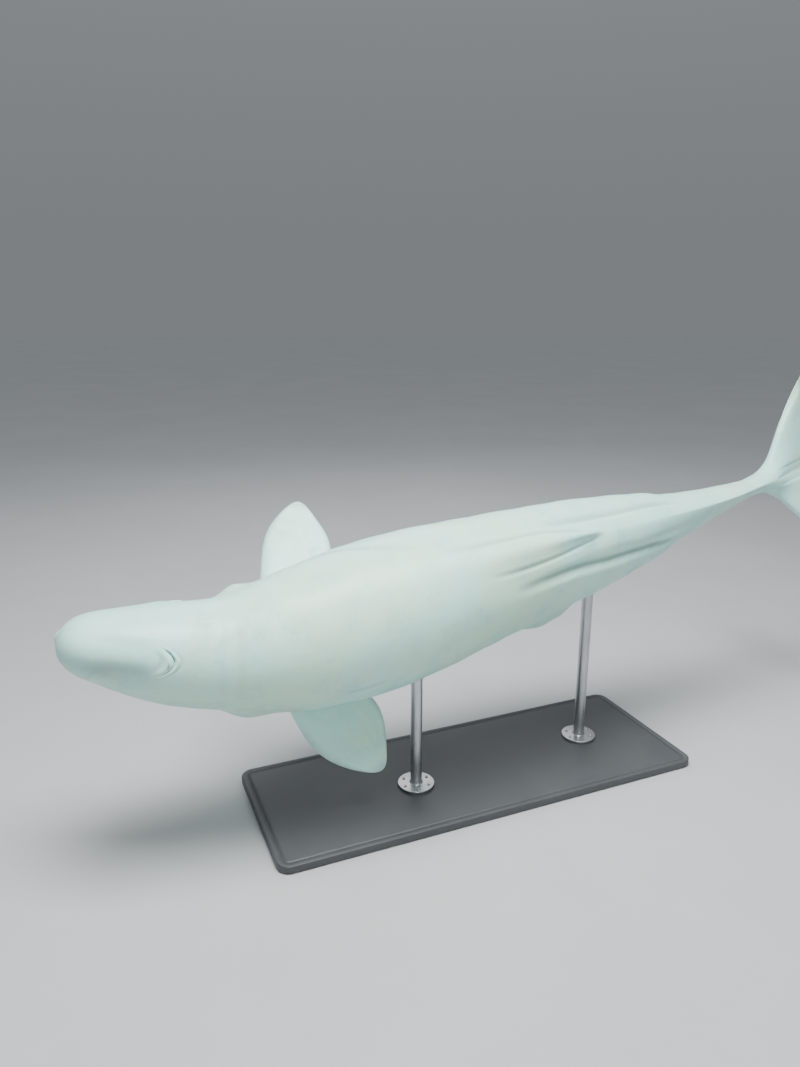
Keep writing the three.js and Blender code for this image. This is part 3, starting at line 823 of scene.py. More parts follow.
@dataclass(frozen=True)
class FlukeShape:
    """The tail flukes, from the end of the tail stock to their trailing edge."""

    body: BodyShape = field(default_factory=BodyShape)
    lead: Rows = (
        (0.0, 0.88, 0.0138), (0.1, 0.899, 0.0118), (0.2, 0.9195, 0.0135), (0.32, 0.9375, 0.02),
        (0.46, 0.9535, 0.035), (0.6, 0.968, 0.055), (0.74, 0.985, 0.08), (0.87, 1.005, 0.105),
        (1.0, 1.026, 0.128),
    )
    lead_rises: float = 0.1
    tip: Span = (1.026, 0.128)
    lobe: float = 0.01
    lobe_powers: Span = (2.4, 0.9)
    notch: float = 0.024
    notch_half: float = 0.1
    notch_power: float = 1.3
    bow: float = 1.5
    thick: float = 0.0085
    thinning: float = 0.9
    edge: float = 0.0008
    flex: float = 1.25
    flex_grows: float = 0.4
    spine_half: float = 0.022
    spine_fade: float = 1.2
    keel_ends: float = 0.35
    evens_from: float = 0.3
    blade_grows: float = 0.15
    rounds_from: float = 0.985

    def trailing(self, share: Array) -> Array:
        """Station of the trailing edge: a long convex lobe on each side of a small notch.

        Args:
            share: Shares of the way to a tip, below 0 on the left.

        Returns:
            The station at each.
        """
        aside = np.minimum(np.abs(share), 1.0)
        inner, outer = self.lobe_powers
        lobe = self.lobe * np.maximum(1.0 - aside**inner, 0.0) ** outer
        notch = self.notch * np.exp(-((aside / self.notch_half) ** self.notch_power))
        return self.tip[0] + lobe - notch

    def leading(self, y: Array) -> Array:
        """Station of the leading edge: its curve where that has left the stock, and the stock's end before.

        Args:
            y: Distances aside, as shares of the length.

        Returns:
            The station at each.
        """
        station, half = Spline(self.lead, 1), Spline(self.lead, 2)
        way = np.linspace(self.lead_rises, 1.0, 400)
        found = np.interp(np.abs(y), half(way), station(way))
        return np.where(np.abs(y) <= half(np.array([self.lead_rises])), self.lead[0][1], found)

    def points(self, v: Array, angle: Array) -> Array:
        """Straight points of the flukes.

        A row runs across both lobes, from the leading edge's place at v over back and belly. Its stations
        bend back to the trailing edge as v grows. The thickness is a foil of the share of the chord, the root
        of it times what is left, brought to one at its fullest, with a thin edge that is rounded at the end.
        The stock's ridge runs out between the lobes, and these bend up by the square of the distance aside.

        Args:
            v: Shares of the way from stock to trailing edge.
            angle: Signed radians from the back, minus pi to pi.

        Returns:
            One row for each place.
        """
        station, half = Spline(self.lead, 1), Spline(self.lead, 2)
        flat = np.abs(np.cos(angle))
        keel = self.body.sharpness(np.array([self.lead[0][1]])) * (1.0 - smooth(0.0, self.keel_ends, v))
        rounded = np.abs(np.sin(angle)) ** (1.0 + keel)
        even = 1.0 - np.abs(np.abs(angle) / (math.pi / 2.0) - 1.0)
        share = np.sign(angle) * (rounded + (even - rounded) * smooth(self.evens_from, 1.0, v))
        y = half(v) * share
        x = station(v) + (self.trailing(share) - self.tip[0]) * v**self.bow
        lead = self.leading(y)
        chord = np.maximum(self.trailing(y / self.tip[1]) - lead, self.edge)
        c = np.clip((x - lead) / chord, 0.0, 1.0)
        foil = np.sqrt(c) * (1.0 - c) * 1.5 * math.sqrt(3.0)
        thick = self.thick * (1.0 - self.thinning * (y / self.tip[1]) ** 2) * foil
        thick = thick * np.minimum(v * 3.0, 1.0) * np.minimum(flat * 6.0, 1.0)
        ending = np.sqrt(np.clip(1.0 - smooth(self.rounds_from, 1.0, v) ** 2, 0.02, 1.0))
        thin = self.edge * np.minimum(flat * 4.0, 1.0) * ending
        blade = (thick + thin) * smooth(0.0, self.blade_grows, v)
        stock = np.where(np.cos(angle) > 0, self.body.above(x), self.body.below(x)) * flat
        spine = stock * np.exp(-((y / self.spine_half) ** 2) * np.minimum(v * 6.0, 1.0))
        spine = spine * (1.0 - v) ** self.spine_fade
        bend = self.flex * y * y * smooth(0.0, self.flex_grows, v)
        z = np.sign(np.cos(angle)) * (spine + blade) + bend
        return np.stack([x, y, z], axis=1) * LENGTH

    def margin(self, v: Array) -> Array:
        """How near the trailing edge each place lies, 0 to 1."""
        return smooth(0.9, 1.0, v)


@dataclass(frozen=True)
class FlipperShape:
    """A flipper: a paddle with a curled tip, thickest near its front, with faint rays over the finger bones.

    Its plan has the span share, half chord, shift to the rear, half thickness and curl, shares of the length.
    """

    side: Side
    sweep: float
    droop: float
    feather: float
    plan: Rows = (
        (0.0, 0.03, 0.004, 0.009, 0.0), (0.25, 0.0378, 0.0048, 0.0072, 0.0),
        (0.5, 0.0426, 0.0052, 0.0055, 0.001), (0.75, 0.0366, 0.0028, 0.004, 0.003),
        (0.9, 0.0278, -0.0008, 0.0028, 0.005), (1.0, 0.0222, -0.0022, 0.0018, 0.007),
    )
    root: Point = (0.243, 0.052, -0.045)
    span: float = 0.128
    tip_power: float = 5.0
    thin_power: float = 0.7
    camber: float = 0.35
    rays: tuple[float, ...] = (-0.5, -0.15, 0.2, 0.52)
    ray_spread: float = 0.07
    ray_height: float = 0.00022
    ray_reach: Window = Window(0.2, 0.4, 0.7, 0.92)
    blade_margin: Span = (0.80, 1.0)
    margin_grows: Span = (0.1, 0.6)
    tip_margin: Span = (0.88, 1.0)
    search: Span = (-0.3, 0.6)
    halvings: int = 24

    def directions(self) -> tuple[Array, Array, Array]:
        """Unit directions, from the sweep to the rear, the droop to the belly and the turn of the chord.

        Returns:
            Along the span, along the chord to the rear, and through the flipper to its back.
        """
        sweep, droop, feather = (math.radians(turn) for turn in (self.sweep, self.droop, self.feather))
        side = self.side.value
        level, down = side * math.cos(droop), math.sin(droop)
        out = np.array([math.sin(sweep), math.cos(sweep) * level, -math.cos(sweep) * down])
        aft = np.array([math.cos(sweep), -math.sin(sweep) * level, math.sin(sweep) * down])
        flat = np.cross(aft, out) * side
        chord = aft * math.cos(feather) + flat * math.sin(feather)
        return out, chord, flat * math.cos(feather) - aft * math.sin(feather)

    def points(self, t: Array, turn: Array) -> Array:
        """Straight points of the flipper.

        The chord falls to nothing at the tip as the root of one minus a power of the span share. Round the
        section the chord goes with minus the cosine of the turn, and the thickness with its sine, fuller at
        the front. A bell across the chord makes each ray.

        Args:
            t: Shares of the span, below 0 inside the chest.
            turn: Radians round the section, from the leading edge over the back.

        Returns:
            One row for each place.
        """
        half, shift, thick, curl = (Spline(self.plan, column)(t)[:, None] for column in (1, 2, 3, 4))
        tip = np.sqrt(np.maximum(1.0 - np.maximum(t, 0.0) ** self.tip_power, 0.0))[:, None]
        along, through = -np.cos(turn)[:, None], np.sin(turn)[:, None]
        foil = through * (1.0 - self.camber * along)
        fan = sum(bell(along, ray, self.ray_spread) for ray in self.rays) * self.ray_reach(t)[:, None]
        rays = self.ray_height * fan * through
        out, chord, back = self.directions()
        root = np.array(self.root) * [1.0, self.side.value, 1.0]
        place = root + out * t[:, None] * self.span + chord * (shift + half * tip * along)
        return (place + back * (curl + thick * tip**self.thin_power * foil + rays)) * LENGTH

    def margin(self, t: Array, turn: Array) -> Array:
        """How much of the greyer margin lies at places of the flipper: along both edges and at the tip.

        Args:
            t: Shares of the span.
            turn: Radians round the section.

        Returns:
            The margin's share at each, 0 to 1.
        """
        edges = smooth(*self.blade_margin, np.abs(np.cos(turn))) * smooth(*self.margin_grows, t)
        return np.maximum(edges, smooth(*self.tip_margin, t))

    def meeting(self, turn: Array, body: BodyShape) -> tuple[Array, Array, Array]:
        """Where the flipper's lines along the span come out of the body, found by halving.

        Args:
            turn: Radians round the flipper's section.
            body: The body it comes out of.

        Returns:
            The span share, the station and the angle in radians of each meeting point.
        """
        low, high = np.full(len(turn), self.search[0]), np.full(len(turn), self.search[1])
        for _ in range(self.halvings):
            t = (low + high) / 2.0
            place = self.points(t, turn)
            station = place[:, 0] / LENGTH
            depth = np.where(place[:, 2] > 0, body.above(station), body.below(station)) * LENGTH
            wide = body.half_width(station) * LENGTH
            angle = np.arctan2(place[:, 1] / wide, place[:, 2] / depth)
            surface = body.points(station, angle)
            outside = np.hypot(place[:, 1], place[:, 2]) > np.hypot(surface[:, 1], surface[:, 2])
            low, high = np.where(outside, low, t), np.where(outside, t, high)
        return t, station, angle


# The skin as one mesh


@dataclass(frozen=True)
class Marked:
    """Straight points with their fold and opening masks, which set painted shade in hollows and openings, and
    their margin mask.
    """

    points: Array
    fold: Array
    inner: Array
    margin: Array

    @classmethod
    def row(cls, points: Array, fold: Array | float, margin: Array | float) -> "Marked":
        """Points outside all openings, with one fold and margin for all or one for each."""
        none = np.zeros(len(points))
        return cls(points, none + fold, none, none + margin)

    @classmethod
    def joined(cls, parts: list["Marked"]) -> "Marked":
        """Several sets of points as one."""
        names = ("points", "fold", "inner", "margin")
        return cls(*(np.concatenate([getattr(part, name) for part in parts]) for name in names))


@dataclass(frozen=True)
class FineAreas:
    """How far from the head's features and from the ridge's rear end the grid is finer.

    Metres, but the rim is in half widths of the eye, the blowhole's reach across in its own half widths, and
    the ridge's end and reach are a station and degrees.
    """

    mouth: float = 0.015
    mouth_corner: float = 0.009
    eye: float = 0.037
    rim: float = 1.9
    eye_to_ear: float = 0.09
    ear: float = 0.011
    hole: Span = (-0.036, 0.026)
    hole_across: float = 1.2
    ridge_end: Span = (0.59, 4.0)
    ridge_reach: Span = (0.022, 16.0)


@dataclass
class WhaleSkin:
    """One closed skin over head, trunk, flippers and flukes, on a grid that is finer round small features.

    The coarse grid has rings from snout to notch and columns round them. Each of its cells is a square of the
    fine lattice, whose rows and columns count in steps of a coarse cell's side divided by the fineness.
    """

    pose: Pose = field(default_factory=Pose)
    surface: SkinSurface = field(default_factory=SkinSurface)
    flukes: FlukeShape = field(default_factory=FlukeShape)
    flippers: tuple[FlipperShape, ...] = (
        FlipperShape(Side.RIGHT, 32.0, 10.0, 14.0),
        FlipperShape(Side.LEFT, 27.5, 16.0, -10.0),
    )
    areas: FineAreas = FineAreas()
    around: int = 208
    fine: int = 8
    finer: int = 2
    finest: int = 1
    crowding: float = 0.35
    nose_rings: int = 24
    nose_size: float = 0.92
    lengths: tuple[tuple[float, int], ...] = ((0.125, 64), (0.2, 26), (0.33, 36), (0.88, 92))
    fluke_rows: int = 56
    fluke_crowding: Span = (1.15, 1.5)
    girth: float = 0.33
    fillet: float = 0.030
    spare: float = 0.014
    collar_rows: int = 4
    fillet_rows: int = 6
    flipper_rows: int = 38
    tip_crowding: float = 1.7
    corner_turn: float = 42.0
    root_shade: float = 0.45
    nodes: tuple[str, ...] = (
        "head", "lower_jaw", "neck", "chest", "flank", "tail_stock",
        "flipper_right", "flipper_left", "fluke_right", "fluke_left",
    )

    @cached_property
    def stations(self) -> Array:
        """Stations of the fine rings: over the front evenly by their size, and behind it evenly by length.

        Returns:
            One number for each ring, from the snout to the end of the tail stock.
        """
        body = self.surface.body
        size = np.linspace(0.0, self.nose_size, self.nose_rings * self.fine + 1)
        rows = [body.front * (1.0 - (1.0 - size**2) ** (1.0 / body.front_power))]
        for end, rings in self.lengths:
            start = rows[-1][-1]
            rows.append(np.linspace(start, end, rings * self.fine + 1)[1:])
        return np.concatenate(rows)

    @property
    def rings(self) -> int:
        """Number of coarse steps from the snout to the end of the tail stock."""
        return (len(self.stations) - 1) // self.fine

    def key(self, row: Array, column: Array) -> Array:
        """One number for each lattice place, where the column after the last is the first again."""
        wide = self.around * self.fine
        return row * wide + column % wide

    def angles(self, column: Array) -> Array:
        """Signed angles, closer together at back, belly and sides: u less a share of the sine of four u.

        Args:
            column: Fine columns.

        Returns:
            Radians from the back, minus pi to pi.
        """
        u = column / (self.fine * self.around) * FULL_TURN
        angle = u - self.crowding / 4.0 * np.sin(4.0 * u)
        return np.where(angle > math.pi + TINY, angle - FULL_TURN, angle)

    def cell_sizes(self, row: Array, column: Array) -> Array:
        """Lattice steps along the side of each coarse cell's parts.

        Cells at mouth, eyes, ears, blowhole and ridge's end are divided, and those at the lids' rims most.

        Args:
            row: Coarse rows of the cells.
            column: Their coarse columns.

        Returns:
            The steps of each.
        """
        middle, areas = self.fine // 2, self.areas
        station = self.stations[np.minimum(row * self.fine + middle, len(self.stations) - 1)]
        angle = self.angles(column * self.fine + middle)
        degrees, plain = np.degrees(angle), self.surface.body.points(station, angle)
        mouth, lids = self.surface.mouth, self.surface.lids
        up = plain[:, 2] - mouth.height(plain[:, 0])
        divided = (np.abs(up) < areas.mouth) & (station < mouth.corner + areas.mouth_corner)
        rims = np.zeros(len(row), dtype=bool)
        for side in Side:
            near = np.linalg.norm(plain - lids.centre(side)[0], axis=1)
            x, z, away = lids.around(side, plain)
            ear = (near < areas.eye_to_ear) & (lids.from_ear(x, z) < areas.ear)
            divided |= (near < areas.eye) | ear
            rims |= (near < areas.eye) & (away < areas.rim)
        back, across = self.surface.blowhole.around(station, degrees)
        divided |= (np.abs(across) < areas.hole_across) & (back > areas.hole[0]) & (back < areas.hole[1])
        far, wide = np.abs(station - areas.ridge_end[0]), np.abs(degrees - areas.ridge_end[1])
        divided |= (far < areas.ridge_reach[0]) & (wide < areas.ridge_reach[1])
        divided &= (row < self.rings) & (row > 1)
        return np.where(divided, np.where(rims, self.finest, self.finer), self.fine)

    def lattice(self, row: Array, column: Array) -> Marked:
        """Fine lattice places, on the body up to the end of the tail stock and on the flukes beyond it.

        Args:
            row: Fine rows of the places.
            column: Their fine columns.

        Returns:
            Their points and masks.
        """
        last = len(self.stations) - 1
        angle = self.angles(column)
        place, fold, inner = self.surface.points(self.stations[np.minimum(row, last)], angle)
        v = self.fluke_share((row - last) / self.fine)
        beyond = row > last
        place[beyond] = self.flukes.points(v[beyond], angle[beyond])
        margin = np.where(beyond, self.flukes.margin(v), 0.0)
        return Marked(place, np.where(beyond, 0.0, fold), np.where(beyond, 0.0, inner), margin)

    def fluke_share(self, row: Array) -> Array:
        """Share of the way over the flukes of a coarse row beyond the stock, closer near both ends."""
        first, last = self.fluke_crowding
        return 1.0 - (1.0 - np.clip(row / self.fluke_rows, 0.0, 1.0) ** first) ** last

    def hole(self, flipper: FlipperShape) -> tuple[int, int, int, int]:
        """The opening that a flipper grows from, with room round it for the fillet.

        Args:
            flipper: The flipper's shape.

        Returns:
            First and last coarse row, and first and last coarse column.
        """
        turn = np.linspace(0.0, FULL_TURN, 64, endpoint=False)
        _, station, angle = flipper.meeting(turn, self.surface.body)
        room = self.fillet + self.spare
        rows = self.stations[:: self.fine] * LENGTH
        first = np.searchsorted(rows, station.min() * LENGTH - room) - 1
        last = np.searchsorted(rows, station.max() * LENGTH + room)
        columns = self.angles(np.arange(self.around) * self.fine) % FULL_TURN
        angle = angle % FULL_TURN
        left = np.searchsorted(columns, angle.min() - room / self.girth) - 1
        right = np.searchsorted(columns, angle.max() + room / self.girth)
        return int(first), int(last), int(left), int(right)

    def rim(self, flipper: FlipperShape) -> tuple[Array, Array, Array]:
        """The edge of a flipper's opening, from its front over the flipper's back.

        Args:
            flipper: The flipper's shape.

        Returns:
            Coarse rows and columns, and the turn round the flipper's section that each place leads to.
        """
        top, end, left, right = self.hole(flipper)
        front, down = np.arange(left, right + 1), np.arange(top, end + 1)
        near, far = right, left
        if flipper.side is Side.RIGHT:
            near, far, front = left, right, front[::-1]
        flat, tall = np.ones(len(front) - 1, dtype=int), np.ones(len(down) - 1, dtype=int)
        row = np.concatenate([flat * top, down[:-1], flat * end, down[:0:-1]])
        column = np.concatenate([front[:-1], tall * near, front[:0:-1], tall * far])
        corner = math.radians(self.corner_turn)
        ends = [-corner, corner, math.pi - corner, math.pi + corner, FULL_TURN - corner]
        counts = [len(front), len(down)] * 2
        turn = np.concatenate([np.linspace(a, b, n)[:-1] for a, b, n in zip(ends, ends[1:], counts)])
        return row, column, turn

    def flipper_part(self, flipper: FlipperShape, start: int) -> tuple[Array, Marked, list[Array]]:
        """A flipper from the edge of its opening to its tip.

        Each line leaves the edge over the skin to the fillet, follows a quadratic curve whose middle handle
        is the point where flipper and body meet, and runs along the span to the tip.

        Args:
            flipper: The flipper's shape.
            start: Number of its first vertex in the whole skin.

        Returns:
            Keys of the opening's edge, the new points, and the faces between the new rows and at the tip.
        """
        row, column, turn = self.rim(flipper)
        row, column = row * self.fine, column * self.fine
        share, station, angle = flipper.meeting(turn, self.surface.body)
        meets = np.stack([station * LENGTH, angle * self.girth], axis=1)
        middle = (meets.max(axis=0) + meets.min(axis=0)) / 2.0
        half = (meets.max(axis=0) - meets.min(axis=0)) / 2.0
        away = (meets - middle) / half**2
        opening = meets + away / np.linalg.norm(away, axis=1)[:, None] * self.fillet
        edge = np.stack([self.stations[row] * LENGTH, self.angles(column) * self.girth], axis=1)
        parts = []
        for w in np.linspace(0.0, 1.0, self.collar_rows + 1)[1:]:
            place = edge * (1.0 - w) + opening * w
            found, fold, _ = self.surface.points(place[:, 0] / LENGTH, place[:, 1] / self.girth)
            parts.append(Marked.row(found, fold, 0.0))
        lip, handle = parts[-1].points, self.surface.points(station, angle)[0]
        first = share + self.fillet / (flipper.span * LENGTH)
        root = flipper.points(first, turn)
        for w in np.linspace(0.0, 1.0, self.fillet_rows + 1)[1:]:
            curve = (1 - w) ** 2 * lip + 2 * w * (1 - w) * handle + w * w * root
            # the fold mask rises over the fillet: a ring of painted shade round the flipper's root
            parts.append(Marked.row(curve, self.root_shade * math.sin(math.pi * w), 0.0))
        for w in np.linspace(0.0, 1.0, self.flipper_rows + 1)[1:-1]:
            t = 1.0 - (1.0 - first) * (1.0 - w) ** self.tip_crowding
            parts.append(Marked.row(flipper.points(t, turn), 0.0, flipper.margin(t, turn)))
        count, k = len(turn), np.arange(len(turn))
        tip = start + len(parts) * count
        fan = np.stack([tip - count + k, tip - count + (k + 1) % count, np.full(count, tip)], axis=1)
        faces = [ring_faces(len(parts), count) + start, fan]
        parts.append(Marked.row(flipper.points(np.array([1.0]), np.array([math.pi / 2.0])), 0.0, 1.0))
        return self.key(row, column), Marked.joined(parts), faces

    def walks(self) -> list[Array]:
        """The ways round all cells' parts outside the flippers' openings.

        Returns:
            For each size of part, one row of lattice places for each part.
        """
        total, m = self.rings + self.fluke_rows, self.fine
        grid = np.meshgrid(np.arange(1, total), np.arange(self.around), indexing="ij")
        row, column = (axis.ravel() for axis in grid)
        keep = np.ones(len(row), dtype=bool)
        for flipper in self.flippers:
            top, end, left, right = self.hole(flipper)
            keep &= (row < top) | (row >= end) | (column < left) | (column >= right)
        row, column = row[keep], column[keep]
        sizes, walks = self.cell_sizes(row, column), []
        for size in (self.fine, self.finer, self.finest):
            here, step, corners = sizes == size, np.arange(size), np.arange(0, m, size)
            a, b = np.meshgrid(corners, corners, indexing="ij")
            i = (row[here, None] * m + a.ravel()).reshape(-1, 1)
            j = (column[here, None] * m + b.ravel()).reshape(-1, 1)
            sides = [(i + step, j), (i + size, j + step), (i + size - step, j + size), (i, j + size - step)]
            walks.append(np.concatenate([self.key(*side) for side in sides], axis=1))
        return walks

    def end_faces(self, nose: int, first: Array, last: Array) -> list[Faces]:
        """Faces that close the snout to a point, and the flukes' last row across its thickness.

        Args:
            nose: Number of the snout's point.
            first: Numbers of the first ring.
            last: Numbers of the last.

        Returns:
            The faces.
        """
        fan = np.stack([np.full(self.around, nose), first, np.roll(first, -1)], axis=1)
        quarter, half = self.around // 4, self.around // 2
        over = np.arange(1 - quarter, quarter - 1)
        strip = np.stack([half - over, half - over - 1, over + 1, over], axis=1)
        tips = np.array([[quarter + 1, quarter, quarter - 1], [half + quarter - 1, -quarter + 1, -quarter]])
        return [Faces.even(fan), *(Faces.even(last[rows % self.around]) for rows in (strip, tips))]

    def build(self) -> bpy.types.Object:
        """The finished skin.

        Where a part's neighbour is finer, it takes the places on the shared edge as more corners, so the mesh
        stays closed.

        Returns:
            The skin as one object with its masks.
        """
        walks = self.walks()
        used = np.unique(np.concatenate([walk[:, :: walk.shape[1] // 4].ravel() for walk in walks]))
        wide = self.around * self.fine
        marked = [self.lattice(used // wide, used % wide), Marked.row(np.zeros((1, 3)), 0.0, 0.0)]
        faces = []
        for walk in walks:
            present = np.isin(walk, used)
            faces.append(Faces(np.searchsorted(used, walk[present]), present.sum(axis=1)))
        columns, start = np.arange(self.around) * self.fine, len(used)
        ends = [self.key(row * self.fine, columns) for row in (1, self.rings + self.fluke_rows)]
        faces += self.end_faces(start, *(np.searchsorted(used, end) for end in ends))
        start += 1
        for flipper in self.flippers:
            keys, places, own = self.flipper_part(flipper, start)
            edge, first = np.searchsorted(used, keys), start + np.arange(len(keys))
            join = np.stack([edge, np.roll(edge, -1), np.roll(first, -1), first], axis=1)
            for rows in (join, *own):
                faces.append(Faces.even(rows if flipper.side is Side.RIGHT else rows[:, ::-1]))
            marked.append(places)
            start += len(places.points)
        whole = Marked.joined(marked)
        piece = make_piece("whale_skin", self.pose.in_room(whole.points), Faces.joined(faces))
        # fold and inner carry painted shade in hollows and openings to the skin's material
        for name in ("fold", "inner", "margin"):
            add_attribute(piece, name, getattr(whole, name))
        add_attribute(piece, "straight", whole.points)
        piece.data.materials.append(SkinFinish().material())
        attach(piece, "root")
        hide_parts(*self.nodes)
        return piece


@dataclass
class Eye:
    """One eye: a ball with a slightly bulging cornea, sunk between its lids."""

    side: Side
    skin: WhaleSkin
    bulge: Rise = Rise(0.0006, 0.0, 0.55)
    around: int = 64
    rows: int = 40

    def build(self) -> bpy.types.Object:
        """The eye, as rings of a sphere about its outward axis with a bell-shaped bulge at its front.

        Returns:
            The eyeball, with the angle from its axis stored for its material.
        """
        lids = self.skin.surface.lids
        base, outer = self.skin.pose.in_room(np.stack(lids.centre(self.side)))
        out = (outer - base) / np.linalg.norm(outer - base)
        along = np.cross(np.array([0.0, 0.0, 1.0]), out)
        along /= np.linalg.norm(along)
        up = np.cross(out, along)
        polar = np.linspace(0.0, math.pi, self.rows + 1)[1:-1, None]
        turn = np.linspace(0.0, FULL_TURN, self.around, endpoint=False)[None, :]
        reach = lids.ball_radius + self.bulge(polar)
        aside = np.cos(turn)[..., None] * along + np.sin(turn)[..., None] * up
        grid = (reach * np.cos(polar))[..., None] * out + (reach * np.sin(polar))[..., None] * aside
        front, back = out * (lids.ball_radius + self.bulge.height), -out * lids.ball_radius
        points = np.concatenate([grid.reshape(-1, 3), [front], [back]]) + (base - out * lids.ball_depth)
        count, last = self.around, (self.rows - 2) * self.around
        k = np.arange(count)
        after = (k + 1) % count
        tube = ring_faces(self.rows - 1, count)[:, ::-1]
        front_cap = np.stack([np.full(count, len(points) - 2), k, after], axis=1)
        back_cap = np.stack([np.full(count, len(points) - 1), last + after, last + k], axis=1)
        faces = Faces.joined([Faces.even(rows) for rows in (tube, front_cap, back_cap)])
        piece = make_piece(f"eye_ball_{self.side.name.lower()}", points, faces)
        add_attribute(piece, "from_axis", np.concatenate([np.repeat(polar[:, 0], count), [0.0, math.pi]]))
        piece.data.materials.append(EyeFinish().material(self.side))
        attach(piece, "root")
        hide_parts(f"eye_{self.side.name.lower()}")
        return piece


# The stand


@dataclass
class StandBase:
    """The flat base: a plate with round corners and edges over a narrow recess, and a line near its edge.

    The recess has its inset and height, and the line its inset, half width and depth.
    """

    length: float = 2.2
    width: float = 0.8
    thick: float = 0.04
    corner: float = 0.06
    centre: Span = (-0.22, 0.01)
    recess: Span = (0.012, 0.007)
    under_edge: float = 0.01
    chamfer: float = 0.0005
    step: float = 0.001
    low_rounding: float = 0.0015
    rounding: float = 0.005
    line: Point = (0.03, 0.0016, 0.0012)
    top_edge: float = 0.02
    rounding_rows: int = 7
    arc: int = 18

    def profile(self) -> Array:
        """The rows' insets and heights, from the underside over the rounded edge to the top.

        The rounded edges are quarter circles, and the fine line is a shallow groove with sloping walls.

        Returns:
            Rows of inset and height.
        """
        inset, low = self.recess
        turn = np.linspace(0.0, math.pi / 2.0, self.rounding_rows)
        r, s, c = self.rounding, self.low_rounding, self.chamfer
        under = [(inset + self.under_edge, 0.0), (inset, c), (inset, low - c), (inset - self.step, low)]
        lower = np.stack([s * (1.0 - np.sin(turn)), low + s * (1.0 - np.cos(turn))], axis=1)
        upper = np.stack([r * (1.0 - np.cos(turn)), self.thick - r + r * np.sin(turn)], axis=1)
        at, half, deep = self.line
        groove = [(at - half, 0.0), (at - half / 2, -deep), (at + half / 2, -deep), (at + half, 0.0)]
        groove = np.array(groove) + [0.0, self.thick]
        return np.concatenate([under, lower, upper, groove, [(at + self.top_edge, self.thick)]])

    def build(self) -> bpy.types.Object:
        """The base: the profile's rows carried round a rectangle with round corners, drawn in by their inset.

        Returns:
            The base as one closed object.
        """
        turn = np.linspace(0.0, math.pi / 2.0, self.arc)
        turns = np.concatenate([turn + quarter * math.pi / 2.0 for quarter in range(4)])
        signs = np.repeat([[1, 1], [-1, 1], [-1, -1], [1, -1]], self.arc, axis=0)
        way = np.stack([np.cos(turns), np.sin(turns)], axis=1)
        heart = signs * (np.array([self.length, self.width]) / 2.0 - self.corner) + self.centre
        rows = self.profile()
        flat = heart[None] + way[None] * (self.corner - rows[:, 0])[:, None, None]
        height = np.broadcast_to(rows[:, 1, None, None], (*flat.shape[:2], 1))
        points = np.concatenate([flat, height], axis=2).reshape(-1, 3)
        under = np.arange(len(turns))[None]
        over = under + (len(rows) - 1) * len(turns)
        faces = [ring_faces(len(rows), len(turns)), under[:, ::-1], over]
        piece = make_piece("stand_base_plate", points, Faces.joined([Faces.even(part) for part in faces]))
        piece.data.materials.append(PaintFinish().material())
        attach(piece, "root")
        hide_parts("stand_base")
        return piece


